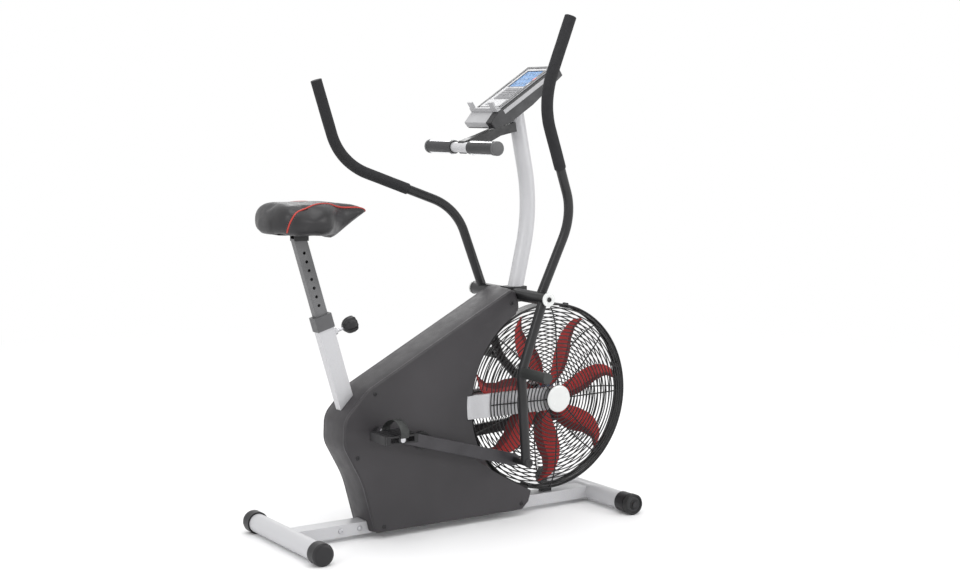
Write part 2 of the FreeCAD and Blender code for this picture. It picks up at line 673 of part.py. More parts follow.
def make_fan_fork():
    """Two arms that hold the fan's axle, with cheeks and a cross plate above the belt."""
    half, reach, low = S.fork_gap / 2, S.fork_thickness, FAN_Z - S.fork_height / 2
    high = FAN_Z + S.fork_height / 2
    cross_low, cross_high = high + 28, high + 48
    pieces = []
    for near in (-half - reach, half):
        arm = span_box((FORK_BACK, near, low), (FAN_X, near + reach, high))
        eye = disc(S.fork_height / 2, FAN_X, FAN_Z, near, near + reach)
        cheek = span_box((FORK_BACK, near, low), (CHEEK_FRONT, near + reach, cross_high))
        pieces += [arm, eye, cheek]
    cross = span_box((FORK_BACK, -half - 1, cross_low), (CHEEK_FRONT, half + 1, cross_high))
    bore = disc(S.fan_axle_radius, FAN_X, FAN_Z, -100, 100)
    fork = cross.fuse(pieces).removeSplitter().cut(bore)
    name_node(shaped(fork), "fan_fork")


def make_head():
    low = span_box((HEAD_REAR, -S.head_half_width, HEAD_LOW), (HEAD_FRONT, S.head_half_width, HEAD_HIGH))
    bore = disc(S.axle_radius, PIVOT_X, PIVOT_Z, -60, 60)
    bolt_bore = disc(S.bolt_radius + 0.2, HEAD_BOLT_X, HEAD_BOLT_Z, -60, 60)
    name_node(shaped(low.cut(bore).cut(bolt_bore)), "head_block")
    foot, bend = MAST_FOOT, MAST_BEND
    path = [foot - (bend - foot).normalize() * 20, bend, MAST_TOP + MAST_AXIS * MAST_INSERT]
    mast = bent_tube(path, [S.mast_bend_radius], S.mast_radius, S.tube_wall)
    name_node(shaped(mast.cut(span_box((0, -60, 0), (400, 60, HEAD_HIGH)))), "mast")
    end = S.axle_half_width
    name_node(rod("Sizes.axle_radius", "2 * Sizes.axle_half_width", (PIVOT_X, -end, PIVOT_Z)), "pivot_axle")
    discs = []
    for disc_y, bolt_y in ((end, end + 5), (-end - 5, -end - 9)):
        washer = rod("Sizes.sleeve_radius + 2", "5", (PIVOT_X, disc_y, PIVOT_Z))
        discs.append(fuse(washer, rod("5.5", "4", (PIVOT_X, bolt_y, PIVOT_Z))))
    name_node(group(*discs), "pivot_washers")


# ---------------------------------------------------------------------------------------------
# Casing
# ---------------------------------------------------------------------------------------------
LOW = S.casing_floor_gap
COVER_SEAM = S.casing_half_width - S.casing_edge
PANEL = [(CRANK_X - 136, LOW, 8), (CRANK_X - 173, LOW + 137, 250), (CRANK_X - 227, CRANK_Z + 5, 60),
         (CRANK_X - 224, CRANK_Z + 75, 60), (CRANK_X - 155, CRANK_Z + 146, 60),
         (PIVOT_X - 29, PIVOT_Z + 22, 14), (PIVOT_X - 13, PIVOT_Z - 14, 8),
         (FAN_X - 88, LOW + 46, 8), (FAN_X - 96, LOW + 20, 6), (FAN_X - 118, LOW, 8)]


def eye_wire(points, y):
    """A closed opening of three arcs, from six (x, z) points; every second one is a joint."""
    at = [Vector(x, y, z) for x, z in points]
    arcs = [Part.Arc(at[i], at[i + 1], at[(i + 2) % 6]).toShape() for i in (0, 2, 4)]
    return Part.Wire(arcs)


def fan_eye(grow):
    """The sloping mouth that opens towards the fan: round inside, stretched at the panel."""
    inner = []
    radius = S.rim_radius + S.mouth_clearance + grow
    for angle in (119, 172, 203, 222, 246, 0):
        turn = math.radians(angle)
        inner.append((FAN_X + radius * math.cos(turn), FAN_Z + radius * math.sin(turn)))
    outer = [(-135 + 0.5 * grow, 270 + grow), (-350 - grow, 35), (-308 - grow, -112 - grow),
             (-196, -190 - grow), (-90, -248 - grow), (130 + grow, 20)]
    outer = [(FAN_X + x, FAN_Z + z) for x, z in outer]
    start, end = eye_wire(inner, S.mouth_half_width), eye_wire(outer, S.casing_half_width)
    return ruled([start, end]).fuse([extend(start, -S.casing_half_width), extend(end, 20)])


def extend(wire, length):
    return Part.Face(wire).extrude(Y * length)


def make_side_cover():
    wide, wall = S.casing_half_width, S.casing_wall
    outer = ruled([rounded_wire(PANEL, y, inset) for y, inset in ((COVER_SEAM, 0), (wide - 4, 0), (wide, 4))])
    inner = ruled([rounded_wire(PANEL, y, wall) for y in (COVER_SEAM - 1, wide - wall)])
    mouth, mouth_wall = fan_eye(0), fan_eye(wall)
    shell = outer.cut(inner)
    inside_spine = ruled([rounded_wire(PANEL, y, wall + 0.3) for y in (28, COVER_SEAM)])
    band = mouth_wall.common(inside_spine.fuse(outer)).cut(span_box((-900, -100, -100), (900, 28.2, 900)))
    cover = shell.fuse(band).cut(mouth)
    fork_low, fork_high = FAN_Z - S.fork_height / 2 - 1, FAN_Z + S.fork_height / 2 + 1
    fork_near, fork_far = S.fork_gap / 2 - 1, S.fork_gap / 2 + S.fork_thickness + 1
    slot = span_box((FORK_BACK - 5, fork_near, fork_low), (FAN_X, fork_far, fork_high))
    cheek = span_box((FORK_BACK - 5, fork_near, fork_low), (CHEEK_FRONT + 1, fork_far, fork_high + 50))
    crank_hole = disc(S.crank_axle_radius + 8, CRANK_X, CRANK_Z, 0, 100)
    sleeve_notch = disc(S.sleeve_radius + 1.5, PIVOT_X, PIVOT_Z, 0, 100)
    cover = cover.cut([slot, cheek, crank_hole, sleeve_notch])
    return max(cover.Solids, key=lambda solid: solid.Volume)


def spine_wires(grow):
    crown = S.spine_bulge
    edge = COVER_SEAM
    sections = ((edge, 0), (40, crown * 0.6), (25, crown), (-25, crown), (-40, crown * 0.6), (-edge, 0))
    return [rounded_wire(PANEL, y, grow - bulge) for y, bulge in sections]


def make_spine_cover():
    outer, inner = ruled(spine_wires(0)), ruled(spine_wires(S.casing_wall))
    seam = COVER_SEAM - 0.1
    ends = span_box((-900, seam, -100), (900, 60, 900)).fuse(span_box((-900, -60, -100), (900, -seam, 900)))
    fan_room = disc(S.rim_radius + 17, FAN_X, FAN_Z, -100, 100)
    floor = span_box((-900, -100, -100), (900, 100, LOW))
    base = span_box((CRANK_X - 128, -100, 0), (900, 100, LOW + 60))
    beam = span_box((-900, -S.beam_width / 2 - 2, 0), (900, S.beam_width / 2 + 2, BEAM_TOP + 2))
    nose = span_box((HEAD_REAR - 2, -100, 0), (900, 100, 900))
    seat = Part.makeBox(S.seat_tube_depth + 2, S.seat_tube_width + 2, 600)
    corner = on_seat_axis(-400, -S.seat_tube_depth / 2 - 1) - Y * (S.seat_tube_width / 2 + 1)
    seat.Placement = Placement(corner, SEAT_LEAN)
    spine = outer.cut(inner).cut([ends, fan_room, floor, base, beam, nose, seat])
    return max(spine.Solids, key=lambda solid: solid.Volume)


def make_casing():
    cover = make_side_cover()
    left = cover.cut(belt_loop(S.belt_width + 8, 8))
    name_node(shaped(max(left.Solids, key=lambda solid: solid.Volume)), "left_side_cover")
    name_node(shaped(mirrored(cover)), "right_side_cover")
    name_node(shaped(make_spine_cover()), "spine_cover")
    places = [(PIVOT_X - 36, PIVOT_Z - 20), (CRANK_X - 135, CRANK_Z + 135), (CRANK_X - 188, CRANK_Z - 28),
              (CRANK_X - 111, LOW + 14), (FAN_X - 122, LOW + 17)]
    screws = []
    for x, z in places:
        screws.append(disc(6, x, z, S.casing_half_width, S.casing_half_width + 2.5))
        screws.append(disc(6, x, z, -S.casing_half_width - 2.5, -S.casing_half_width))
    name_node(shaped(Part.makeCompound(screws)), "cover_screws")


# ---------------------------------------------------------------------------------------------
# Fan
# ---------------------------------------------------------------------------------------------
# The guard's section, from rim to hub: (distance from the axle, distance from the middle plane).
DISH_SHARES = ((0.9973, 17.5), (0.9094, 36.0), (0.7833, 48.5), (0.5732, 54.0))
GUARD_DISH = [(share * S.rim_radius, y) for share, y in DISH_SHARES] + [(S.guard_hub_radius, 60.0)]
RING_PITCH = (S.rim_radius - 6.8 - S.guard_hub_radius) / (S.guard_rings - 1)


def guard_depth(radius):
    """Distance of the guard's wires from the fan's middle plane at a radius."""
    for (outer, low), (inner, high) in zip(GUARD_DISH, GUARD_DISH[1:]):
        if radius >= inner:
            share = (outer - radius) / (outer - inner)
            return low + share * (high - low)
    return GUARD_DISH[-1][1]


def guard_rib(angle):
    half = S.guard_wire / 2
    above = [Vector(r, y + half, 0) for r, y in GUARD_DISH]
    below = [Vector(r, y - half, 0) for r, y in reversed(GUARD_DISH)]
    corners = above + below
    face = Part.Face(Part.makePolygon(corners + corners[:1]))
    rib = face.extrude(Z * S.guard_wire)
    rib.translate(Z * (-half))
    rib.rotate(Vector(0, 0, 0), Y, angle)
    rib.translate(Vector(FAN_X, 0, FAN_Z))
    return rib


def make_guard():
    rings = []
    half = S.guard_wire / 2
    count = int(S.guard_rings)
    for index in range(count):
        radius = S.guard_hub_radius + index * RING_PITCH
        y = guard_depth(radius)
        ring = disc(radius + half, FAN_X, FAN_Z, y - half, y + half)
        rings.append(ring.cut(disc(radius - half, FAN_X, FAN_Z, y - half - 1, y + half + 1)))
    edge = disc(S.rim_radius, FAN_X, FAN_Z, S.rim_half_width, S.rim_half_width + 4)
    rings.append(edge.cut(disc(S.rim_radius - 5, FAN_X, FAN_Z, 0, 60)))
    ribs = [guard_rib(360.0 / S.guard_ribs * i) for i in range(int(S.guard_ribs))]
    guard = rings[0].fuse(rings[1:] + ribs)
    clear = 1.5
    fork_low, fork_high = FAN_Z - S.fork_height / 2 - clear, FAN_Z + S.fork_height / 2 + clear
    fork = span_box((FAN_X - 300, 0, fork_low), (FAN_X, S.fork_gap / 2 + S.fork_thickness + clear, fork_high))
    return guard.cut(fork)


def make_guards():
    guard = make_guard()
    belt = belt_loop(S.belt_width + 8, 8)
    left = guard.cut(belt)
    name_node(shaped(max(left.Solids, key=lambda solid: solid.Volume)), "guard_left")
    name_node(shaped(mirrored(max(guard.Solids, key=lambda solid: solid.Volume))), "guard_right")
    rim = disc(S.rim_radius, FAN_X, FAN_Z, -S.rim_half_width, S.rim_half_width)
    rim = rim.cut(disc(S.rim_radius - S.rim_wall, FAN_X, FAN_Z, -60, 60))
    foot = span_box((FAN_X - 14, -12, BEAM_TOP), (FAN_X + 14, 12, FAN_Z - S.rim_radius + 2))
    foot = foot.cut(disc(S.rim_radius - 1, FAN_X, FAN_Z, -60, 60))
    clips = []
    for index in range(6):
        turn = math.radians(15 + 60 * index)
        reach = S.rim_radius + 1
        spot = Vector(FAN_X + reach * math.cos(turn), -9, FAN_Z + reach * math.sin(turn))
        clips.append(Part.makeCylinder(4, 18, spot, Y))
    name_node(shaped(rim.fuse([foot] + clips)), "rim_band")


def belt_loop(width, extra):
    """The loop round both pulleys: extra thickness each way; 0 gives the belt itself."""
    outside = hull_of_pulleys(S.belt_thickness + extra, width)
    return outside.cut(hull_of_pulleys(-extra, width + 2))


def hull_of_pulleys(grow, width):
    """The convex outline round both pulleys, grown, as a solid of the given width."""
    big, small = S.crank_pulley_radius + grow, S.fan_pulley_radius + grow
    first, second = Vector(CRANK_X, 0, CRANK_Z), Vector(FAN_X, 0, FAN_Z)
    line = second - first
    lean = math.atan2(line.z, line.x)
    spread = math.acos((big - small) / line.Length)
    low_y = S.pulley_plane - width / 2

    def rim(centre, radius, angle):
        return centre + Vector(math.cos(angle), 0, math.sin(angle)) * radius

    up, down = lean + spread, lean - spread
    edges = [Part.Arc(rim(first, big, up), rim(first, big, lean + math.pi), rim(first, big, down)).toShape(),
             Part.LineSegment(rim(first, big, down), rim(second, small, down)).toShape(),
             Part.Arc(rim(second, small, down), rim(second, small, lean), rim(second, small, up)).toShape(),
             Part.LineSegment(rim(second, small, up), rim(first, big, up)).toShape()]
    solid = Part.Face(Part.Wire(edges)).extrude(Y * width)
    solid.translate(Y * low_y)
    return solid


# Each blade's two edges, from root to tip: (share of the tip radius, degrees ahead of the tip).
BLADE_LEAD = ((0.46, 22.0), (0.735, 18.0), (0.94, 8.6), (1.0, 0.0))
BLADE_TRAIL = ((0.975, -1.5), (0.865, 3.0), (0.73, 1.5), (0.58, -6.0), (0.375, -16.0))
BLADE_ROOT = 14.0


def blade():
    """One hooked blade, its tip pointing along +X, twisted about its length."""

    def at(radius, angle):
        turn = math.radians(angle)
        return Vector(radius * math.cos(turn), 0, radius * math.sin(turn))

    root = S.fan_hub_radius + 1
    tip = S.rim_radius - S.blade_tip_gap
    points = [at(root, BLADE_ROOT)] + [at(share * tip, angle) for share, angle in BLADE_LEAD]
    back = [at(share * tip, angle) for share, angle in BLADE_TRAIL] + [at(root, -BLADE_ROOT)]
    lead, trail = Part.BSplineCurve(), Part.BSplineCurve()
    lead.interpolate(points)
    trail.interpolate(back)
    edges = [lead.toShape(), Part.LineSegment(points[-1], back[0]).toShape(), trail.toShape(),
             Part.LineSegment(back[-1], points[0]).toShape()]
    solid = Part.Face(Part.Wire(edges)).extrude(Y * S.blade_thickness)
    solid.translate(Y * (-S.blade_thickness / 2))
    solid.rotate(Vector(0, 0, 0), X, S.blade_twist)
    return solid


def make_fan():
    reach = S.fan_hub_reach
    hub = disc(S.fan_hub_radius, FAN_X, FAN_Z, -reach, reach)
    blades = []
    for index in range(int(S.fan_blades)):
        one = blade()
        one.rotate(Vector(0, 0, 0), Y, 360.0 / S.fan_blades * index - S.blade_tip_angle)
        one.translate(Vector(FAN_X, 0, FAN_Z))
        blades.append(one.cut(hub))
    name_node(shaped(Part.makeCompound(blades)), "fan_blades")
    loose = "Sizes.fan_axle_radius + Sizes.running_clearance"
    bore = rod(loose, "4 * Sizes.fan_hub_reach", (FAN_X, -2 * reach, FAN_Z))
    hub_rod = rod("Sizes.fan_hub_radius", "2 * Sizes.fan_hub_reach", (FAN_X, -reach, FAN_Z))
    name_node(cut(hub_rod, bore), "fan_hub")
    half_belt = "Sizes.belt_width / 2 + Sizes.belt_flange"
    width = "Sizes.pulley_plane + %s - Sizes.fan_hub_reach" % half_belt
    pulley = rod("Sizes.fan_pulley_radius - Sizes.belt_play", width, (FAN_X, reach, FAN_Z))
    name_node(cut(pulley, rod(loose, "4 * Sizes.fan_hub_reach", (FAN_X, -reach, FAN_Z))), "fan_pulley")
    half = GUARD_DISH[-1][1] + S.guard_wire / 2 + 0.1
    name_node(rod("Sizes.fan_axle_radius", "%.1f" % (2 * half), (FAN_X, -half, FAN_Z)), "fan_axle")
    caps = [turned("HubCap", [("0", "0"), ("Sizes.hub_cap_radius", "0"), ("Sizes.hub_cap_radius", "3"),
                              ("Sizes.hub_cap_radius - 5", "5.5"), ("0", "7")], (FAN_X, side * half, FAN_Z), spin)
            for side, spin in ((1, Rotation()), (-1, FLIP))]
    name_node(group(*caps), "hub_caps")


# ---------------------------------------------------------------------------------------------
# Drive
# ---------------------------------------------------------------------------------------------
CRANK_Y = S.casing_half_width + S.crank_side_gap + S.crank_thickness / 2
LINK_Y = CRANK_Y + S.crank_thickness / 2 + S.side_gap + S.link_thickness / 2
PEDAL_Y = LINK_Y + S.link_thickness / 2 + S.side_gap + 2


def angle_xz(vector):
    return math.degrees(math.atan2(vector.z, vector.x))


def make_crank():
    half = CRANK_Y + S.crank_thickness / 2
    name_node(rod("Sizes.crank_axle_radius", "%.2f" % (2 * half), (CRANK_X, -half, CRANK_Z)), "crank_axle")
    rings = []
    for low in (-S.crank_shell_half, S.crank_shell_half / 2):
        ring = rod("Sizes.crank_shell_radius - Sizes.crank_shell_wall", "Sizes.crank_shell_half / 2",
                   (CRANK_X, low, CRANK_Z))
        bore = rod("Sizes.crank_axle_radius + Sizes.running_clearance", "Sizes.crank_shell_half",
                   (CRANK_X, low - S.crank_shell_half / 4, CRANK_Z))
        rings.append(cut(ring, bore))
    name_node(group(*rings), "crank_bearings")
    arms, spindles = [], []
    inner, face = S.casing_half_width + S.crank_boss_gap, S.casing_half_width + S.crank_side_gap
    for side, pin in ((-1, PIN_RIGHT), (1, PIN_LEFT)):
        turn = Rotation(Y, -angle_xz(pin - CRANK))
        arm = bar("CrankArm", "Sizes.crank_throw", "Sizes.crank_bar_height", "Sizes.crank_thickness",
                  (CRANK_X, side * CRANK_Y, CRANK_Z), turn)
        boss = rod("Sizes.crank_boss_radius", "Sizes.crank_side_gap - Sizes.crank_boss_gap",
                   (CRANK_X, min(side * inner, side * face), CRANK_Z))
        axle = rod("Sizes.crank_axle_radius", "%.2f" % (2 * half), (CRANK_X, -half, CRANK_Z))
        seat = rod("Sizes.spindle_radius", "Sizes.crank_thickness + 2",
                   (pin.x, side * CRANK_Y - S.crank_thickness / 2 - 1, pin.z))
        arms.append(cut(fuse(arm, boss), axle, seat))
        end = PEDAL_Y + S.pedal_width + 2
        start = (pin.x, min(side * face, side * end), pin.z)
        spindles.append(rod("Sizes.spindle_radius", "%.2f" % (end - face), start))
    name_node(group(*arms), "crank_arms")
    name_node(group(*spindles), "pedal_spindles")
    width = "Sizes.belt_width + 2 * Sizes.belt_flange"
    low = S.pulley_plane - evaluate(width) / 2
    wheel = rod("Sizes.crank_pulley_radius - Sizes.belt_play", width, (CRANK_X, low, CRANK_Z))
    holes = [rod("Sizes.crank_axle_radius", width + " + 2", (CRANK_X, low - 1, CRANK_Z))]
    for index in range(5):
        turn = math.radians(72 * index)
        spot = Vector(math.cos(turn), 0, math.sin(turn)) * S.crank_window_circle + CRANK
        holes.append(rod("Sizes.crank_window_radius", width + " + 2", (spot.x, low - 1, spot.z)))
    name_node(cut(wheel, *holes), "crank_pulley")
    name_node(shaped(belt_loop(S.belt_width, 0)), "drive_belt")


def make_pedal(pin, side):
    """A pedal: two cage plates, two treads and a rib round a spindle sleeve."""
    near = PEDAL_Y if side > 0 else -PEDAL_Y - S.pedal_width
    rear, low = pin.x - S.pedal_length / 2, pin.z - S.pedal_height / 2
    pieces = [rod("Sizes.pedal_sleeve_radius", "Sizes.pedal_width", (pin.x, near, pin.z))]
    for y in (near, near + S.pedal_width - S.pedal_plate):
        pieces.append(block("Sizes.pedal_length", "Sizes.pedal_plate", "Sizes.pedal_height", (rear, y, low)))
    for x in (rear, rear + S.pedal_length - S.tread_depth):
        pieces.append(block("Sizes.tread_depth", "Sizes.pedal_width", "Sizes.pedal_height", (x, near, low)))
    pieces.append(block("Sizes.pedal_length", "Sizes.pedal_rib_width", "Sizes.pedal_rib_height",
                        (rear, near + (S.pedal_width - S.pedal_rib_width) / 2, pin.z - S.pedal_rib_height / 2)))
    bore = rod("Sizes.spindle_radius + Sizes.running_clearance", "Sizes.pedal_width + 2", (pin.x, near - 1, pin.z))
    return cut(fuse(*pieces), bore)


def make_links():
    for label, side, pin, low in (("right", -1, PIN_RIGHT, LOW_RIGHT), ("left", 1, PIN_LEFT, LOW_LEFT)):
        name_node(make_pedal(pin, side), label + "_pedal")
        turn = Rotation(Y, -angle_xz(low - pin))
        link = bar("Link", "Sizes.link_length", "Sizes.link_height", "Sizes.link_thickness",
                   (pin.x, side * LINK_Y, pin.z), turn)
        eye = rod("Sizes.spindle_radius + Sizes.running_clearance", "Sizes.link_thickness + 2",
                  (pin.x, side * LINK_Y - S.link_thickness / 2 - 1, pin.z))
        name_node(cut(link, eye), label + "_link")


# ---------------------------------------------------------------------------------------------
# Rocking arms
# ---------------------------------------------------------------------------------------------
LOWER_LEAN = 12.9
ARM_RADII = (90.0, 150.0, 165.0)


def arm_points(side):
    """Bolt, knee and pivot of the lower tube, then foot, shoulder, elbow and top of the upper one.

    The arm is drawn upright, from its pivot, half-way along its swing.
    """
    wide, upper, spread = S.arm_half_spread, S.upper_half_spread, S.handle_half_spread
    low = math.radians(LOWER_LEAN)
    bolt = Vector(S.rocker_length * math.sin(low), wide, -S.rocker_length * math.cos(low))
    lower = [bolt, Vector(0, wide, -209), Vector(0, wide, 0)]
    higher = [Vector(0, upper, 0), Vector(6, upper + 26, 240), Vector(-250, spread, 464),
              Vector(-244, spread, 692)]
    return [[Vector(p.x, p.y * side, p.z) for p in points] for points in (lower, higher)]


def arm_turn(low):
    """Turn from the drawn upright arm to its rest place."""
    return rocker_angle(low) - LOWER_LEAN


def make_arms():
    for label, side, low in (("right", -1, LOW_RIGHT), ("left", 1, LOW_LEFT)):
        lower, higher = arm_points(side)
        bolt, knee = lower[0], lower[1]
        tube = bent_tube(lower, ARM_RADII[:1], S.arm_tube_radius, S.tube_wall)
        handle = bent_tube(higher, ARM_RADII[1:], S.arm_tube_radius, S.tube_wall)
        near, far = sorted((side * (S.head_half_width + 1), side * (S.axle_half_width - 1)))
        sleeve = disc(S.sleeve_radius, 0, 0, near, far)
        stop = LINK_Y + S.link_thickness / 2 + S.open_pivot_gap
        near, far = sorted((side * stop, side * (S.arm_half_spread + 16)))
        stud = disc(8, bolt.x, bolt.z, near, far)
        bore = disc(S.axle_radius + S.running_clearance, 0, 0, -300, 300)
        arm = tube.fuse([handle, sleeve, stud]).cut(bore)
        arm = max(arm.Solids, key=lambda solid: solid.Volume)
        pieces = {"arm": arm, "grip": make_grip(higher), "foot_peg": make_peg(knee, side)}
        for name, solid in pieces.items():
            solid.rotate(Vector(0, 0, 0), Y, -arm_turn(low))
            solid.translate(Vector(PIVOT_X, 0, PIVOT_Z))
            name_node(shaped(solid), label + "_" + name)


def make_grip(higher):
    """The foam grip: a sleeve over the handle from the middle of its slope to its top."""
    foot, shoulder, elbow, top = higher
    start = shoulder + (elbow - shoulder) * 0.42
    over = top + (top - elbow).normalize() * 6
    outer = swept(bent_path([start, elbow, over], ARM_RADII[2:]), S.arm_tube_radius + S.grip_thickness)
    inner = swept(bent_path([start, elbow, top], ARM_RADII[2:]), S.arm_tube_radius)
    return outer.cut(inner)


def make_peg(knee, side):
    near, far = sorted((side * (S.arm_half_spread + S.arm_tube_radius), side * (S.arm_half_spread + S.peg_length)))
    return disc(S.peg_radius, knee.x, knee.z + 4, near, far)


# ---------------------------------------------------------------------------------------------
# Console and pulse bar
# ---------------------------------------------------------------------------------------------
CONSOLE_LEAN = Rotation(Y, -S.console_tilt)
CONSOLE_LOW = Vector(PIVOT_X - 83, 0, S.mast_height + 9)


def in_console(shape):
    """Put a shape drawn in the console's own axes in place: X up its slope, Z out of its face."""
    shape.Placement = Placement(CONSOLE_LOW, CONSOLE_LEAN).multiply(shape.Placement)
    return shape


def console_outline(points):
    return Part.makePolygon([Vector(x, 0, z) for x, z in points + points[:1]])


def console_pad(points, half):
    solid = Part.Face(console_outline(points)).extrude(Y * (2 * half))
    solid.translate(Y * -half)
    return solid


def console_block(low, high):
    """A box whose corners are given in the console's own axes."""
    size = Vector(*high) - Vector(*low)
    base = CONSOLE_LOW + CONSOLE_LEAN.multVec(Vector(*low))
    return block("%.2f" % size.x, "%.2f" % size.y, "%.2f" % size.z, tuple(base), CONSOLE_LEAN)


# The screen's opening and the two buttons' (low x, low y, high x, high y), in the console's axes.
SCREEN = (118.0, -42.0, 196.0, 34.0)
BUTTONS = ((120.0, -54.0, 135.0, -44.5), (146.0, -54.0, 161.0, -44.5))
PLAY = 0.3


def make_console():
    long, half, deep = S.console_length, S.console_width / 2, S.console_depth
    body = console_pad([(-36, -12), (0, 0), (long - 6, 0), (long, -8), (long, -deep * 0.7), (long * 0.45, -deep),
                        (10, -deep), (-34, -32)], half)
    floors = ((SCREEN, -3), (BUTTONS[0], -6), (BUTTONS[1], -6))
    body = body.cut([span_box((x0, y0, floor), (x1, y1, 5)) for (x0, y0, x1, y1), floor in floors])
    start = MAST_TOP - MAST_AXIS * 130
    mast_room = Part.makeCylinder(S.mast_radius + 0.05, 130 + MAST_INSERT, start, MAST_AXIS)
    name_node(shaped(in_console(body).cut(mast_room)), "console_housing")
    holes = [console_block((x0, y0, -6), (x1, y1, 5)) for x0, y0, x1, y1 in (SCREEN,) + BUTTONS]
    name_node(cut(console_block((12, 6 - half, 0), (long - 10, half - 6, 3)), *holes), "console_bezel")
    x0, y0, x1, y1 = SCREEN
    name_node(console_block((x0 + PLAY, y0 + PLAY, -2.8), (x1 - PLAY, y1 - PLAY, 2)), "console_lens")
    for index, (x0, y0, x1, y1) in enumerate(BUTTONS, start=1):
        button = console_block((x0 + PLAY, y0 + PLAY, -2.5), (x1 - PLAY, y1 - PLAY, 4.5))
        name_node(button, "console_button_%d" % index)
    shelf = [console_block((-4, -half, 0.2), (9, half, 4)), console_block((-4, -half, 0.2), (2, half, 12))]
    hooks = [console_block((-4, y, 0.2), (2, y + 22, 30)) for y in (4 - half, half - 26)]
    name_node(fuse(*shelf, *hooks), "reading_rack")


PULSE_X, PULSE_Z = PIVOT_X - 154, S.mast_height - 86


def make_pulse_bar():
    start = (PULSE_X, 4 - S.pulse_half_width, PULSE_Z)
    name_node(rod("Sizes.pulse_tube_radius", "2 * Sizes.pulse_half_width - 8", start), "pulse_bar")
    grips = []
    length, end = S.pulse_grip_length, S.pulse_half_width
    for outer_y, bore_y in ((-end, 4 - end), (end - length, end - length - 4)):
        outer = rod("Sizes.pulse_grip_radius", "Sizes.pulse_grip_length", (PULSE_X, outer_y, PULSE_Z))
        bore = rod("Sizes.pulse_tube_radius", "Sizes.pulse_grip_length", (PULSE_X, bore_y, PULSE_Z))
        grips.append(cut(outer, bore))
    name_node(group(*grips), "pulse_grips")
    # a bent plate from the mast, under the console, down to the pulse bar
    mast_x = PIVOT_X + 24
    arm = [(PULSE_X - 17, PULSE_Z), (PULSE_X - 4, PULSE_Z + 17), (PULSE_X + 44, PULSE_Z + 32),
           (PULSE_X + 100, PULSE_Z + 52), (mast_x, PULSE_Z + 70), (mast_x, PULSE_Z + 44),
           (PULSE_X + 112, PULSE_Z + 30), (PULSE_X + 62, PULSE_Z + 6), (PULSE_X, PULSE_Z - 17)]
    solid = console_pad(arm, 15)
    solid = solid.cut(disc(S.pulse_tube_radius, PULSE_X, PULSE_Z, -60, 60))
    mast = Part.makeCylinder(S.mast_radius, 260, MAST_TOP + MAST_AXIS * 60, MAST_AXIS * -1)
    bracket = solid.cut(mast)
    name_node(shaped(max(bracket.Solids, key=lambda item: item.Volume)), "console_bracket")


for make in (make_base, make_bolts, make_seat_tube, make_seat_bushing, make_seat_post, make_seat_pin, make_saddle,
             make_inner_frame, make_fan_fork, make_head, make_casing, make_guards, make_fan, make_crank, make_links,
             make_arms, make_console, make_pulse_bar):
    make()
doc.recompute()

for obj in doc.Objects:
    if set(obj.State) & {"Invalid", "Error"}:
        raise RuntimeError("%s failed: %s" % (obj.Label, obj.State))
os.makedirs("parts", exist_ok=True)
for node in NODES:
    if node.Shape.isNull() or not node.Shape.isValid():
        raise RuntimeError("%s has no valid shape" % node.Label)
    node.Shape.exportStep("parts/%s.step" % node.Label)
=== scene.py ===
"""Air bike: the looks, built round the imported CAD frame.

Metres. +X points forward, towards the fan; +Y is the rider's left; +Z is up.
"""

import json
import math

import bmesh
import bpy
from mathutils import Matrix, Vector
from mathutils.bvhtree import BVHTree


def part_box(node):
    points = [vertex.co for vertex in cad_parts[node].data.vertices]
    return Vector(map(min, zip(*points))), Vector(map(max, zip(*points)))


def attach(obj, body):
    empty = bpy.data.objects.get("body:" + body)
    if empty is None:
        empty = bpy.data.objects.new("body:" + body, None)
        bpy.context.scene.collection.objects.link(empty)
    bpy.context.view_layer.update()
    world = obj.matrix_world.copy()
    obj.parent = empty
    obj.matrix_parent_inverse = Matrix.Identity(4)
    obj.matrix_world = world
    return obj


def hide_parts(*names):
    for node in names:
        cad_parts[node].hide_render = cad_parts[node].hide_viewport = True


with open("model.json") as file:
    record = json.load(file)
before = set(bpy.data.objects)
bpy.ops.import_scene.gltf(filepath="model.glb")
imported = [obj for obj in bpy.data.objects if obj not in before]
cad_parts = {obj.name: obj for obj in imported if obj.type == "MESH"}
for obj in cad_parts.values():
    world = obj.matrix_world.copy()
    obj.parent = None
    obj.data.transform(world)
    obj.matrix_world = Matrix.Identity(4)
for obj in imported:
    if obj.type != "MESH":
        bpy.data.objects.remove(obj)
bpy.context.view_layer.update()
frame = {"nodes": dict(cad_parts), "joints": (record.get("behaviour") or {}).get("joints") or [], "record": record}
NODES = frame["nodes"]
PLACES = {joint["name"]: Vector(joint["pos_m"]) for joint in frame["joints"] if "pos_m" in joint}
X, Y, Z = Vector((1, 0, 0)), Vector((0, 1, 0)), Vector((0, 0, 1))
MM = 0.001
SIDES = (("right", -1), ("left", 1))


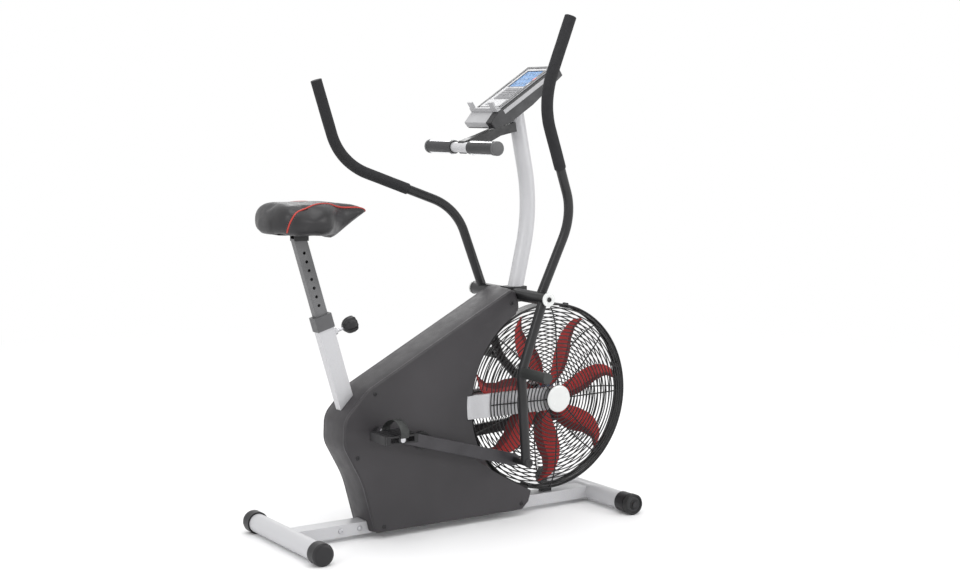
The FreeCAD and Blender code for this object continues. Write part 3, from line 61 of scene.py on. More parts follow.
# ---- Materials ----
class Graph:
    """Short names for the node calls that every material uses."""

    def __init__(self, name):
        self.material = bpy.data.materials.new(name)
        self.material.use_nodes = True
        self.nodes = self.material.node_tree.nodes
        self.links = self.material.node_tree.links
        self.shader = self.nodes["Principled BSDF"]
        self.where = self.add("ShaderNodeTexCoord").outputs["Object"]

    def add(self, kind, **settings):
        node = self.nodes.new(kind)
        for key, value in settings.items():
            setattr(node, key, value)
        return node

    def noise(self, scale, detail=4.0, rough=0.5):
        node = self.add("ShaderNodeTexNoise")
        node.inputs["Scale"].default_value = scale
        node.inputs["Detail"].default_value = detail
        node.inputs["Roughness"].default_value = rough
        self.links.new(self.where, node.inputs["Vector"])
        return node.outputs["Fac"]

    def cells(self, scale, feature="F1", output="Distance"):
        node = self.add("ShaderNodeTexVoronoi", feature=feature)
        node.inputs["Scale"].default_value = scale
        self.links.new(self.where, node.inputs["Vector"])
        return node.outputs[output]

    def spread(self, value, low, high, start=0.3, end=0.7):
        node = self.add("ShaderNodeMapRange")
        for key, number in (("From Min", start), ("From Max", end), ("To Min", low), ("To Max", high)):
            node.inputs[key].default_value = number
        self.links.new(value, node.inputs["Value"])
        return node.outputs["Result"]

    def tones(self, value, first, second, start=0.35, end=0.65):
        """A colour that runs from first to second with value."""
        ramp = self.add("ShaderNodeValToRGB")
        for stop, place, colour in zip(ramp.color_ramp.elements, (start, end), (first, second)):
            stop.position = place
            stop.color = (*colour, 1)
        self.links.new(value, ramp.inputs["Fac"])
        return ramp.outputs["Color"]

    def bump(self, height, depth, strength=1.0):
        node = self.add("ShaderNodeBump")
        node.inputs["Strength"].default_value = strength
        node.inputs["Distance"].default_value = depth
        self.links.new(height, node.inputs["Height"])
        self.links.new(node.outputs["Normal"], self.shader.inputs["Normal"])

    def feed(self, socket, value):
        self.links.new(value, self.shader.inputs[socket])

    def colour(self, value, first, second, start=0.35, end=0.65):
        self.feed("Base Color", self.tones(value, first, second, start, end))

    def gloss(self, scale, low, high):
        """Roughness that drifts between low and high in patches."""
        self.feed("Roughness", self.spread(self.noise(scale), low, high))

    def fix(self, **numbers):
        for key, value in numbers.items():
            self.shader.inputs[key.replace("_", " ")].default_value = value


def shade(colour, factor):
    return tuple(min(1.0, part * factor) for part in colour)


def finish(name, colour, roughness, vary=0.12, patch=9.0, grain=900.0, depth=0.00006, **fixed):
    """A solid finish: slow patches in colour and gloss over a fine moulded or sprayed grain."""
    graph = Graph(name)
    slow = graph.noise(patch)
    graph.colour(slow, shade(colour, 1 - vary), shade(colour, 1 + vary))
    graph.gloss(patch * 4, roughness - 0.05, roughness + 0.07)
    graph.bump(graph.noise(grain, detail=2.0), depth)
    graph.fix(**fixed)
    return graph.material


def silver_paint():
    """Silver lacquer with a fine metallic flake."""
    graph = Graph("silver_paint")
    flake = graph.cells(2600.0, output="Color")
    tone = graph.add("ShaderNodeRGBToBW")
    graph.links.new(flake, tone.inputs["Color"])
    graph.colour(tone.outputs["Val"], (0.46, 0.46, 0.475), (0.56, 0.56, 0.575), 0.2, 0.8)
    graph.gloss(30.0, 0.33, 0.45)
    graph.bump(graph.noise(700.0), 0.00003)
    graph.fix(Metallic=0.15, Coat_Weight=0.2, Coat_Roughness=0.2)
    return graph.material


def moulded_plastic():
    """Charcoal casing plastic with a pebbled mould grain."""
    graph = Graph("charcoal_plastic")
    graph.colour(graph.noise(5.0), (0.033, 0.031, 0.0335), (0.043, 0.040, 0.0435))
    graph.gloss(40.0, 0.40, 0.52)
    graph.bump(graph.cells(1500.0), 0.00010, 0.7)
    graph.fix(Specular_IOR_Level=0.35)
    return graph.material


def vinyl():
    """Black upholstery vinyl: creased grain cells over soft patches."""
    graph = Graph("vinyl")
    graph.colour(graph.noise(14.0), (0.012, 0.0115, 0.0125), (0.019, 0.018, 0.020))
    graph.gloss(60.0, 0.34, 0.47)
    graph.bump(graph.cells(620.0, feature="DISTANCE_TO_EDGE"), 0.00022, 0.55)
    graph.fix(Specular_IOR_Level=0.45)
    return graph.material


def foam():
    """Closed-cell foam: tiny open pores."""
    graph = Graph("foam")
    pores = graph.cells(1400.0)
    graph.colour(pores, (0.010, 0.010, 0.011), (0.022, 0.022, 0.024), 0.1, 0.6)
    graph.gloss(80.0, 0.62, 0.78)
    graph.bump(pores, 0.00035, 0.6)
    graph.fix(Specular_IOR_Level=0.25)
    return graph.material


def powder_coat(name, colour):
    """Powder-coated steel: orange peel under a satin gloss."""
    graph = Graph(name)
    graph.colour(graph.noise(16.0), shade(colour, 0.85), shade(colour, 1.2))
    graph.gloss(90.0, 0.30, 0.42)
    graph.bump(graph.noise(420.0, detail=1.0), 0.00016, 0.6)
    graph.fix(Specular_IOR_Level=0.4)
    return graph.material


def brushed_metal(name, colour, stretch, roughness):
    """Turned or brushed metal: fine streaks along one axis."""
    graph = Graph(name)
    squeeze = graph.add("ShaderNodeMapping")
    squeeze.inputs["Scale"].default_value = stretch
    graph.links.new(graph.where, squeeze.inputs["Vector"])
    streak = graph.add("ShaderNodeTexNoise")
    streak.inputs["Scale"].default_value = 900.0
    graph.links.new(squeeze.outputs["Vector"], streak.inputs["Vector"])
    graph.colour(streak.outputs["Fac"], shade(colour, 0.86), shade(colour, 1.08))
    graph.feed("Roughness", graph.spread(streak.outputs["Fac"], roughness - 0.06, roughness + 0.1))
    graph.bump(streak.outputs["Fac"], 0.00002)
    graph.fix(Metallic=1.0)
    return graph.material


def display_glass():
    """A blue liquid-crystal window with faint rows."""
    graph = Graph("display")
    rows = graph.add("ShaderNodeTexWave", bands_direction="X")
    rows.inputs["Scale"].default_value = 160.0
    graph.links.new(graph.where, rows.inputs["Vector"])
    graph.colour(rows.outputs["Fac"], (0.035, 0.15, 0.36), (0.07, 0.22, 0.46), 0.1, 0.9)
    graph.gloss(50.0, 0.28, 0.36)
    graph.fix(Specular_IOR_Level=0.12)
    return graph.material


# Colour, roughness and what else differs from a plain finish.
FINISHES = {
    "black_plastic": ((0.013, 0.0125, 0.014), 0.42, dict(grain=1300.0, depth=0.0001, Specular_IOR_Level=0.4)),
    "collar_plastic": ((0.085, 0.085, 0.088), 0.45, dict(grain=1300.0, depth=0.0001)),
    "dark_plastic": ((0.024, 0.024, 0.026), 0.38, dict(grain=1500.0, depth=0.00008, Specular_IOR_Level=0.4)),
    "silver_plastic": ((0.40, 0.40, 0.41), 0.34, dict(vary=0.06, Specular_IOR_Level=0.25)),
    "pale_plastic": ((0.16, 0.16, 0.17), 0.4, dict(vary=0.06, Specular_IOR_Level=0.15)),
    "white_plastic": ((0.70, 0.71, 0.70), 0.24, dict(vary=0.03, Coat_Weight=0.3, Coat_Roughness=0.1)),
    "wheel_rubber": ((0.012, 0.012, 0.0125), 0.62, dict(vary=0.25, grain=600.0, depth=0.0002)),
    "peg_rubber": ((0.024, 0.026, 0.025), 0.55, dict(vary=0.2, grain=700.0, depth=0.00015)),
    "belt_rubber": ((0.02, 0.02, 0.02), 0.7, dict(vary=0.3, grain=500.0, depth=0.0002)),
    "red_plastic": ((0.36, 0.018, 0.017), 0.36, dict(vary=0.2, patch=14.0, Specular_IOR_Level=0.35)),
    # A darker copy of red_plastic: painted shade for the blades' trailing edges, where the twist turns them from
    # the light.
    "red_plastic_painted_shade": ((0.13, 0.011, 0.013), 0.42, dict(vary=0.25, patch=14.0, Specular_IOR_Level=0.3)),
    "blue_grey_plastic": ((0.05, 0.075, 0.13), 0.4, dict(vary=0.15)),
    "red_trim": ((0.42, 0.030, 0.020), 0.42, dict(vary=0.12, grain=1500.0, depth=0.0001)),
    "red_button": ((0.55, 0.05, 0.05), 0.3, dict(vary=0.08)),
    "ink": ((0.02, 0.03, 0.05), 0.3, dict(vary=0.1)),
}
LOOKS = {
    "silver_paint": silver_paint(),
    "charcoal_plastic": moulded_plastic(),
    "vinyl": vinyl(),
    "foam": foam(),
    "black_steel": powder_coat("black_steel", (0.014, 0.014, 0.015)),
    "link_steel": powder_coat("link_steel", (0.034, 0.032, 0.036)),
    "grey_steel": powder_coat("grey_steel", (0.115, 0.115, 0.118)),
}
for look_name, (tint, roughness, others) in FINISHES.items():
    LOOKS[look_name] = finish(look_name, tint, roughness, **others)
LOOKS["bright_steel"] = brushed_metal("bright_steel", (0.56, 0.56, 0.58), (1.0, 0.05, 1.0), 0.3)
LOOKS["chrome"] = brushed_metal("chrome", (0.80, 0.80, 0.82), (1.0, 0.1, 1.0), 0.12)
LOOKS["display"] = display_glass()


# ---- Mesh tools ----
def show(obj, look, body, replaces=()):
    """Give a finished object its material, its body and the CAD nodes it stands for."""
    obj.data.materials.clear()
    obj.data.materials.append(LOOKS[look])
    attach(obj, body)
    if replaces:
        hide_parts(*replaces)
    return obj


def mesh_object(name, verts, faces, crease=35.0):
    """A new object; edges sharper than crease degrees stay sharp."""
    mesh = bpy.data.meshes.new(name)
    mesh.from_pydata([tuple(v) for v in verts], [], faces)
    mesh.validate()
    smooth(mesh, crease)
    obj = bpy.data.objects.new(name, mesh)
    bpy.context.scene.collection.objects.link(obj)
    return obj


def smooth(mesh, crease):
    mesh.polygons.foreach_set("use_smooth", [True] * len(mesh.polygons))
    mesh.set_sharp_from_angle(angle=math.radians(crease))
    mesh.update()


class Build:
    """Collects the parts of one mesh."""

    def __init__(self):
        self.verts = []
        self.faces = []

    def grid(self, rows, close_rows=False, close_columns=False):
        """Faces over a grid of points given as rows of equal length."""
        base = len(self.verts)
        across = len(rows[0])
        for row in rows:
            self.verts.extend(row)
        for i in range(len(rows) - (0 if close_rows else 1)):
            for j in range(across - (0 if close_columns else 1)):
                near, far = i * across, ((i + 1) % len(rows)) * across
                right = (j + 1) % across
                self.faces.append((base + near + j, base + far + j, base + far + right, base + near + right))

    def cap(self, row, flip=False):
        base = len(self.verts)
        self.verts.extend(row)
        order = list(range(base, base + len(row)))
        self.faces.append(tuple(reversed(order)) if flip else tuple(order))

    def tube(self, path, radius, sides=12, closed=False):
        """A round tube along a path; radius is a number or a function of the share of the way."""
        rows = []
        normal = None
        count = len(path)
        for i, here in enumerate(path):
            after = path[(i + 1) % count] if closed or i < count - 1 else here
            before = path[i - 1] if closed or i else here
            along = (after - before).normalized()
            if normal is None:
                normal = along.orthogonal().normalized()
            normal = (normal - along * normal.dot(along)).normalized()
            other = along.cross(normal)
            size = radius(i / (count - 1)) if callable(radius) else radius
            rows.append([here + (normal * math.cos(t) + other * math.sin(t)) * size for t in turns(sides)])
        self.grid(rows, close_rows=closed, close_columns=True)
        if not closed:
            self.cap(rows[0], flip=False)
            self.cap(rows[-1], flip=True)

    def lathe(self, profile, centre, axis=Y, steps=48, wobble=None):
        """A turned form: profile points are (radius, distance along the axis)."""
        side = axis.orthogonal().normalized()
        other = axis.cross(side)
        rows = []
        for turn in turns(steps):
            scale = wobble(turn) if wobble else 1.0
            out = side * math.cos(turn) + other * math.sin(turn)
            rows.append([centre + axis * along + out * (radius * scale) for radius, along in profile])
        self.grid(rows, close_rows=True)

    def block(self, low, high, turn=None, base=None):
        """A box from low to high in its own axes, turned by a matrix and moved to base."""
        spans = list(zip(low, high))
        corners = [Vector((x, y, z)) for x in spans[0] for y in spans[1] for z in spans[2]]
        if turn:
            corners = [turn @ corner for corner in corners]
        if base:
            corners = [corner + base for corner in corners]
        start = len(self.verts)
        self.verts.extend(corners)
        for face in ((0, 1, 3, 2), (4, 6, 7, 5), (0, 4, 5, 1), (2, 3, 7, 6), (0, 2, 6, 4), (1, 5, 7, 3)):
            self.faces.append(tuple(start + corner for corner in face))

    def done(self, name, crease=35.0, bevel=0.0, segments=2):
        obj = mesh_object(name, self.verts, self.faces, crease)
        tidy(obj, crease)
        if bevel:
            round_edges(obj, bevel, segments)
        return obj


def turns(count):
    return [2 * math.pi * i / count for i in range(count)]


def tidy(obj, crease=35.0):
    """Weld doubled points and face every surface outwards."""
    mesh = bmesh.new()
    mesh.from_mesh(obj.data)
    bmesh.ops.remove_doubles(mesh, verts=mesh.verts, dist=1e-6)
    bmesh.ops.recalc_face_normals(mesh, faces=mesh.faces)
    mesh.to_mesh(obj.data)
    mesh.free()
    smooth(obj.data, crease)


def round_edges(obj, width, segments=2, angle=32.0):
    bevel = obj.modifiers.new("Rounded", "BEVEL")
    bevel.width = width
    bevel.segments = segments
    bevel.limit_method = "ANGLE"
    bevel.angle_limit = math.radians(angle)
    bevel.harden_normals = True
    return bevel


def plain_copy(node, name):
    """A fresh mesh with a CAD node's shape, its flat areas joined into single faces."""
    source = bmesh.new()
    source.from_mesh(NODES[node].data)
    bmesh.ops.remove_doubles(source, verts=source.verts, dist=2e-6)
    bmesh.ops.dissolve_limit(source, angle_limit=math.radians(0.6), verts=source.verts, edges=source.edges)
    verts = [v.co.copy() for v in source.verts]
    faces = [[v.index for v in f.verts] for f in source.faces]
    source.free()
    return mesh_object(name, verts, faces, 30.0)


def softened(node, look, body, width=0.0008, segments=2):
    """A CAD piece with its sharp edges broken, as a pressed or moulded part has them."""
    obj = plain_copy(node, node + "_finished")
    round_edges(obj, width, segments)
    return show(obj, look, body, [node])


def body_of(node):
    bodies = frame["record"]["behaviour"]["bodies"]
    return next(name for name, members in bodies.items() if node in members)


def joint_axis(name):
    return Vector(next(joint for joint in frame["joints"] if joint["name"] == name)["axis"]).normalized()


def middle(node):
    low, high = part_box(node)
    return (low + high) / 2


def curve_through(points, steps=12):
    """A smooth path through points (Catmull-Rom)."""
    path = []
    ends = [points[0] * 2 - points[1]] + list(points) + [points[-1] * 2 - points[-2]]
    for a, b, c, d in zip(ends, ends[1:], ends[2:], ends[3:]):
        for i in range(steps):
            t = i / steps
            path.append(0.5 * (2 * b + (c - a) * t + (2 * a - 5 * b + 4 * c - d) * t * t
                               + (3 * b - a - 3 * c + d) * t ** 3))
    path.append(points[-1].copy())
    return path


# ---- CAD pieces that keep their shape ----
# Looks that differ from a node's own slot, and the width of the rounding on pieces with broken edges.
OWN_LOOK = {"seat_bushing": "collar_plastic", "right_link": "link_steel", "left_link": "link_steel",
            "right_foot_peg": "peg_rubber", "left_foot_peg": "peg_rubber", "pulse_bar": "silver_paint",
            "right_pedal": "black_plastic", "left_pedal": "black_plastic"}
EDGE_WIDTH = {"seat_tube": 0.0016, "rear_beam": 0.002, "main_beam": 0.0016, "seat_bushing": 0.0016,
              "fan_fork": 0.0012, "head_block": 0.0012, "seat_post": 0.0012, "crank_arms": 0.0015,
              "right_link": 0.0018, "left_link": 0.0018, "saddle_clamp": 0.0006, "left_side_cover": 0.0012,
              "right_side_cover": 0.0012, "spine_cover": 0.0009, "console_bracket": 0.0015}


def dress_cad():
    """Every CAD node gets its material; some also get a finished copy with rounded edges."""
    slots = {part["node"]: part["material_slot"] for part in frame["record"]["subparts"]}
    for node, slot in slots.items():
        mesh = NODES[node].data
        mesh.materials.clear()
        mesh.materials.append(LOOKS[OWN_LOOK.get(node, slot)])
    for node, width in EDGE_WIDTH.items():
        softened(node, OWN_LOOK.get(node, slots[node]), body_of(node), width)


# ---- Saddle ----
def join_modifiers(obj):
    """Replace an object's mesh by what its modifiers make of it."""
    graph = bpy.context.evaluated_depsgraph_get()
    made = bpy.data.meshes.new_from_object(obj.evaluated_get(graph))
    obj.modifiers.clear()
    obj.data = made
    return obj


def remesh(obj, voxel):
    step = obj.modifiers.new("Remesh", "REMESH")
    step.mode = "VOXEL"
    step.voxel_size = voxel
    step.adaptivity = 0.0
    return join_modifiers(obj)


def inflate(obj, cap, pressure=4.0, frames=20):
    """Blow the cover up a little with Cloth, and hold every point within cap of its start."""
    before = [v.co.copy() for v in obj.data.vertices]
    cloth = obj.modifiers.new("Cloth", "CLOTH")
    cloth.settings.use_pressure = True
    cloth.settings.uniform_pressure_force = pressure
    cloth.settings.effector_weights.gravity = 0.0
    cloth.settings.quality = 5
    scene = bpy.context.scene
    for step in range(1, frames + 1):
        scene.frame_set(step)
    join_modifiers(obj)
    scene.frame_set(1)
    for vertex, start in zip(obj.data.vertices, before):
        move = vertex.co - start
        if move.length > cap:
            vertex.co = start + move * (cap / move.length)
    return obj


def relax(obj, rounds, factor=0.5):
    step = obj.modifiers.new("Relax", "SMOOTH")
    step.iterations = rounds
    step.factor = factor
    return join_modifiers(obj)


PAN_SHARE = 0.9
PAD_SHARE = 0.988
PAD_VOXEL = 0.005
PUFF_LIMIT = 0.004
CHANNEL_DEPTH, CHANNEL_WIDTH = 0.005, 0.016
PIPING_RADIUS = 0.0021
STITCH_OFFSET, STITCH_LENGTH = 0.0046, 0.0028


def make_pan():
    """The pan under the cushion, a little inside the CAD one so that the cover wraps it."""
    pan = plain_copy("saddle_pan", "saddle_pan_moulded")
    centre = middle("saddle_pan")
    for vertex in pan.data.vertices:
        offset = vertex.co - centre
        vertex.co = centre + Vector((offset.x * PAN_SHARE, offset.y * PAN_SHARE, offset.z))
    round_edges(pan, 0.0008)
    show(pan, "black_plastic", "seat", replaces=["saddle_pan"])


def make_saddle():
    pad = plain_copy("saddle_pad", "saddle_cushion")
    low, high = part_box("saddle_pad")
    centre = (low + high) / 2
    for vertex in pad.data.vertices:
        vertex.co = centre + (vertex.co - centre) * PAD_SHARE
    remesh(pad, PAD_VOXEL)
    relax(pad, 6)
    inflate(pad, cap=PUFF_LIMIT)
    relax(pad, 9)
    for vertex in pad.data.vertices:
        vertex.co.z -= saddle_dip(vertex.co, low, high)
    rounder = pad.modifiers.new("Finer", "SUBSURF")
    rounder.levels = rounder.render_levels = 1
    join_modifiers(pad)
    smooth(pad.data, 80.0)
    show(pad, "vinyl", "seat", replaces=["saddle_pad"])
    make_piping(pad, low, high)


def saddle_dip(point, low, high):
    """Depth of the soft channel pressed along the middle of the top."""
    share = (point.x - low.x) / (high.x - low.x)
    if point.z < low.z + 0.6 * (high.z - low.z):
        return 0.0
    along = max(0.0, math.sin(math.pi * min(1.0, max(0.0, (share - 0.12) / 0.72))))
    return CHANNEL_DEPTH * along * math.exp(-(point.y / CHANNEL_WIDTH) ** 2)


def make_piping(pad, low, high):
    """Red piping along each side: up the rear corner, then over the crown's edge to the nose."""
    tree = BVHTree.FromObject(pad, bpy.context.evaluated_depsgraph_get())
    length = high.x - low.x
    route = ((0.075, 0.088, -0.078), (0.085, 0.094, -0.055), (0.125, 0.093, -0.034), (0.19, 0.086, -0.018),
             (0.35, 0.066, -0.009), (0.49, 0.052, -0.006), (0.62, 0.042, -0.006), (0.75, 0.032, -0.008),
             (0.88, 0.023, -0.012), (0.97, 0.012, -0.024), (1.0, 0.0, -0.034))
    half = [Vector((low.x + length * share, y, high.z + drop)) for share, y, drop in route]
    points = half[:-1] + [Vector((p.x, -p.y, p.z)) for p in reversed(half)]
    path = []
    for point in curve_through(points, 8):
        spot, normal, _, _ = tree.find_nearest(point)
        path.append(spot + normal * 0.0006)
    for _ in range(8):
        inner = [(a + b * 2 + c) / 4 for a, b, c in zip(path, path[1:], path[2:])]
        path = [path[0]] + inner + [path[-1]]
    cord = Build()
    cord.tube(path, PIPING_RADIUS, sides=10)
    show(cord.done("saddle_piping", 60.0), "red_trim", "seat")
    stitches = Build()
    for index in range(4, len(path) - 4, 2):
        for offset in (-STITCH_OFFSET, STITCH_OFFSET):
            ahead = (path[index + 1] - path[index]).normalized()
            spot, normal, _, _ = tree.find_nearest(path[index])
            side = ahead.cross(normal).normalized() * offset
            start, _, _, _ = tree.find_nearest(path[index] + side)
            end, _, _, _ = tree.find_nearest(path[index] + side + ahead * STITCH_LENGTH)
            crest = (start + end) / 2 + normal * 0.0005
            stitches.tube([start + normal * 0.0002, crest, end + normal * 0.0002], 0.00045, sides=6)
    show(stitches.done("saddle_stitches", 60.0), "collar_plastic", "seat")


# ---- Grips ----
def make_grips():
    """Foam sleeves: the CAD sleeve with rounded, slightly uneven foam."""
    for side, _ in SIDES:
        node = side + "_grip"
        grip = plain_copy(node, side + "_foam_grip")
        remesh(grip, 0.0014)
        relax(grip, 2)
        wave = bpy.data.textures.new(side + "_foam_wave", "CLOUDS")
        wave.noise_scale = 0.05
        swell = grip.modifiers.new("Uneven", "DISPLACE")
        swell.texture = wave
        swell.strength = 0.0007
        swell.mid_level = 0.4
        join_modifiers(grip)
        smooth(grip.data, 70.0)
        show(grip, "foam", side + "_arm", replaces=[node])


# ---- Seat knob ----
def make_knob():
    """A fluted knob on the pull pin, turned about the pin's axis."""
    axis = joint_axis("pin_pull")
    length = 0.038
    base = middle("seat_knob") - axis * (length / 2)
    flutes = 10

    def ridges(turn):
        return 1.0 + 0.045 * math.cos(flutes * turn)

    knob = Build()
    knob.lathe([(0.0, 0.0), (0.009, 0.0), (0.0105, 0.0012), (0.0135, 0.004), (0.0185, 0.010),
                (0.0205, 0.016)], base, axis, 80, ridges)
    knob.lathe([(0.0205, 0.016), (0.0210, 0.022), (0.0212, 0.0285), (0.0200, 0.0335), (0.0175, 0.0362),
                (0.0120, 0.0375), (0.0, 0.0378)], base, axis, 80, ridges)
    show(knob.done("seat_knob_fluted", 50.0), "black_plastic", "pull_pin", replaces=["seat_knob"])


# ---- Fan ----
FAN = PLACES["fan_spin"]
DISH = ((0.2610, 0.0185), (0.2380, 0.0360), (0.2050, 0.0485), (0.1500, 0.0540), (0.0365, 0.0600))
WIRE = 0.0017
RIM_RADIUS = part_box("rim_band")[1].x - FAN.x
FORK_FACE = 0.0505
GUARD_RINGS, RING_STEPS = 22, 144


def guard_bulge(radius, turn):
    """How far a wire is lifted to clear the fork where they cross."""
    x, z = math.cos(turn) * radius, math.sin(turn) * radius
    lack = FORK_FACE - dish_depth(radius)
    if x > 0 or radius > 0.2185 or lack < 0:
        return 0.0
    return lack * max(0.0, min(1.0, (0.062 - abs(z)) / 0.024))


def dish_depth(radius):
    """Distance of the guard from the fan's middle plane, eased between its bends."""
    for (outer, low), (inner, high) in zip(DISH, DISH[1:]):
        if radius >= inner:
            share = (outer - radius) / (outer - inner)
            return low + share * (high - low)
    return DISH[-1][1]


def on_guard(radius, turn, side, lift=0.0):
    depth = dish_depth(radius) + guard_bulge(radius, turn) + lift
    return FAN + Vector((math.cos(turn) * radius, side * depth, math.sin(turn) * radius))


def fork_blocks(radius, turn, side):
    """True where a guard wire would run into the fork or, on the left, the belt."""
    x, z = math.cos(turn) * radius, math.sin(turn) * radius
    depth = dish_depth(radius) + guard_bulge(radius, turn)
    if x < 0 and abs(z) < 0.0335 and depth < 0.0495:
        return True
    return side > 0 and x < 0 and abs(z) < 0.085 and depth < 0.041


def make_guard(side, name, node):
    """Round wires in rings, broken where the fork passes, over eight spokes."""
    guard = Build()
    for index in range(GUARD_RINGS):
        radius = DISH[-1][0] + (RIM_RADIUS - 0.0022 - DISH[-1][0]) * index / (GUARD_RINGS - 1)
        size = 0.0024 if index == GUARD_RINGS - 1 else WIRE
        spots = [(turn, fork_blocks(radius, turn, side)) for turn in turns(RING_STEPS)]
        if not any(blocked for _, blocked in spots):
            guard.tube([on_guard(radius, turn, side) for turn, _ in spots], size, 8, closed=True)
            continue
        first = next(i for i in range(RING_STEPS) if spots[i - 1][1] and not spots[i][1])
        run = []
        for i in range(RING_STEPS + 1):
            turn, blocked = spots[(first + i) % RING_STEPS]
            if blocked or i == RING_STEPS:
                if len(run) > 2:
                    guard.tube(run, size, 8)
                run = []
            else:
                run.append(on_guard(radius, turn, side))
    for turn in turns(8):
        spoke = []
        for share in range(25):
            radius = DISH[-1][0] - 0.004 + (RIM_RADIUS + 0.003 - DISH[-1][0]) * share / 24
            radius = min(radius, 0.2609)
            if not fork_blocks(radius, turn, side):
                spoke.append(on_guard(radius, turn, side, -0.0022))
        guard.tube(spoke, WIRE * 1.1, 8)
    show(guard.done(name, 60.0), "black_steel", "frame", replaces=[node])


# A blade's edges: degrees from its middle line, by share of the tip's radius.
BLADE_LEAD = ((0.136, 14.0), (0.30, 20.0), (0.46, 22.0), (0.62, 20.6), (0.735, 18.0), (0.85, 13.4),
              (0.94, 8.6), (1.0, 1.0))
BLADE_TRAIL = ((0.136, -14.0), (0.25, -17.5), (0.375, -16.0), (0.48, -11.5), (0.58, -6.0), (0.73, 1.5),
               (0.865, 3.2), (0.94, 1.2), (1.0, -1.0))
BLADE_COUNT, BLADE_TIP, FIRST_BLADE, BLADE_PITCH = 7, 0.2425, 58.8, 16.0
BLADE_ROOT = BLADE_LEAD[0][0]


def between_stops(table, share):
    """The value a table of (share, value) pairs gives, eased between its stops."""
    for (low, first), (high, last) in zip(table, table[1:]):
        if share <= high:
            t = max(0.0, (share - low) / (high - low))
            t = t * t * (3 - 2 * t) * 0.35 + t * 0.65
            return first + (last - first) * t
    return table[-1][1]


def make_blades():
    """Seven hooked blades: a raised leading half, a low trailing half, thin at the edges; the trailing edge
    carries painted shade.
    """
    for index in range(BLADE_COUNT):
        spin = math.radians(FIRST_BLADE - 360 / BLADE_COUNT * index)
        rows = []
        for i in range(33):
            share = BLADE_ROOT + (1 - BLADE_ROOT) * i / 32
            lead, trail = between_stops(BLADE_LEAD, share), between_stops(BLADE_TRAIL, share)
            front, rear = [], []
            for j in range(13):
                across = j / 12
                turn = math.radians(trail + (lead - trail) * across)
                radius = BLADE_TIP * share
                out = Vector((math.cos(spin + turn) * radius, 0, math.sin(spin + turn) * radius))
                lean = radius * math.sin(turn) * -math.sin(math.radians(BLADE_PITCH))
                swell = math.sin(math.pi * min(1.0, share * 1.05))
                fold = 0.0045 * (1 - abs(2 * across - 1.1) ** 1.3) * swell
                thin = 0.0013 * (1 - 0.7 * abs(2 * across - 1) ** 3)
                front.append(FAN + out + Y * (lean - fold - thin))
                rear.append(FAN + out + Y * (lean - fold + thin))
            rows.append(front + rear[::-1])
        blade = Build()
        blade.grid(rows, close_columns=True)
        blade.cap(rows[0])
        blade.cap(rows[-1], flip=True)
        obj = blade.done("fan_blade_%d" % (index + 1), 50.0)
        show(obj, "red_plastic", "fan", replaces=["fan_blades"])
        # Painted shade: the outer four columns of faces, along the trailing edge on both sides, take the darker
        # copy of the red.
        obj.data.materials.append(LOOKS["red_plastic_painted_shade"])
        around = len(rows[0])
        for face in obj.data.polygons[:(len(rows) - 1) * around]:
            column = face.index % around
            if min(column, around - 1 - column) < 4:
                face.material_index = 1


def make_hub():
    hub = Build()
    hub.lathe([(0.0065, -0.0195), (0.020, -0.0195), (0.024, -0.018), (0.030, -0.0165), (0.0325, -0.0145),
               (0.0330, -0.010), (0.0330, 0.010), (0.0325, 0.0145), (0.030, 0.0165), (0.024, 0.018),
               (0.0065, 0.018)], FAN, Y, 72)
    show(hub.done("fan_hub_moulded", 40.0), "blue_grey_plastic", "fan", replaces=["fan_hub"])
    bosses = Build()
    for turn in turns(BLADE_COUNT):
        spot = FAN + Vector((math.cos(turn) * 0.026, 0, math.sin(turn) * 0.026))
        bosses.lathe([(0.0, -0.0195), (0.0022, -0.0195), (0.0030, -0.0187), (0.0030, -0.0165),
                      (0.0, -0.0165)], spot, Y, 16)
    show(bosses.done("fan_hub_rivets", 40.0), "bright_steel", "fan")


def make_hub_caps():
    low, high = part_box("hub_caps")
    reach = high.x - FAN.x
    caps = Build()
    for side in (-1, 1):
        start = Vector((FAN.x, side * (high.y - 0.007), FAN.z))
        profile = [(0.0, 0.0), (reach - 0.001, 0.0), (reach, 0.0008), (reach, 0.0026)]
        for i in range(1, 13):
            turn = math.pi / 2 * i / 12
            profile.append((reach * math.cos(turn), 0.0026 + 0.0042 * math.sin(turn)))
        caps.lathe(profile, start, Y * side, 72)
    show(caps.done("hub_caps_domed", 50.0), "white_plastic", "frame", replaces=["hub_caps"])


def make_rim_wires():
    """A heavy wire along each edge of the rim band, and the small clamps that pinch the two guards."""
    wires = Build()
    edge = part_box("rim_band")[1].y + 0.0012
    for side in (-1, 1):
        ring = []
        for turn in turns(168):
            out = Vector((math.cos(turn), 0, math.sin(turn)))
            ring.append(FAN + out * (RIM_RADIUS - 0.0032) + Y * (side * edge))
        wires.tube(ring, 0.0031, 10, closed=True)
    show(wires.done("rim_wires", 60.0), "black_steel", "frame")
    clamps = Build()
    for index in range(6):
        turn = math.radians(15 + 60 * index)
        lean = Matrix.Rotation(-turn, 3, "Y")
        base = FAN + Vector((math.cos(turn), 0, math.sin(turn))) * (RIM_RADIUS - 0.006)
        clamps.block((-0.004, -0.0205, -0.006), (0.0062, 0.0205, 0.006), lean, base)
    show(clamps.done("rim_clamps", bevel=0.0012), "black_plastic", "frame")


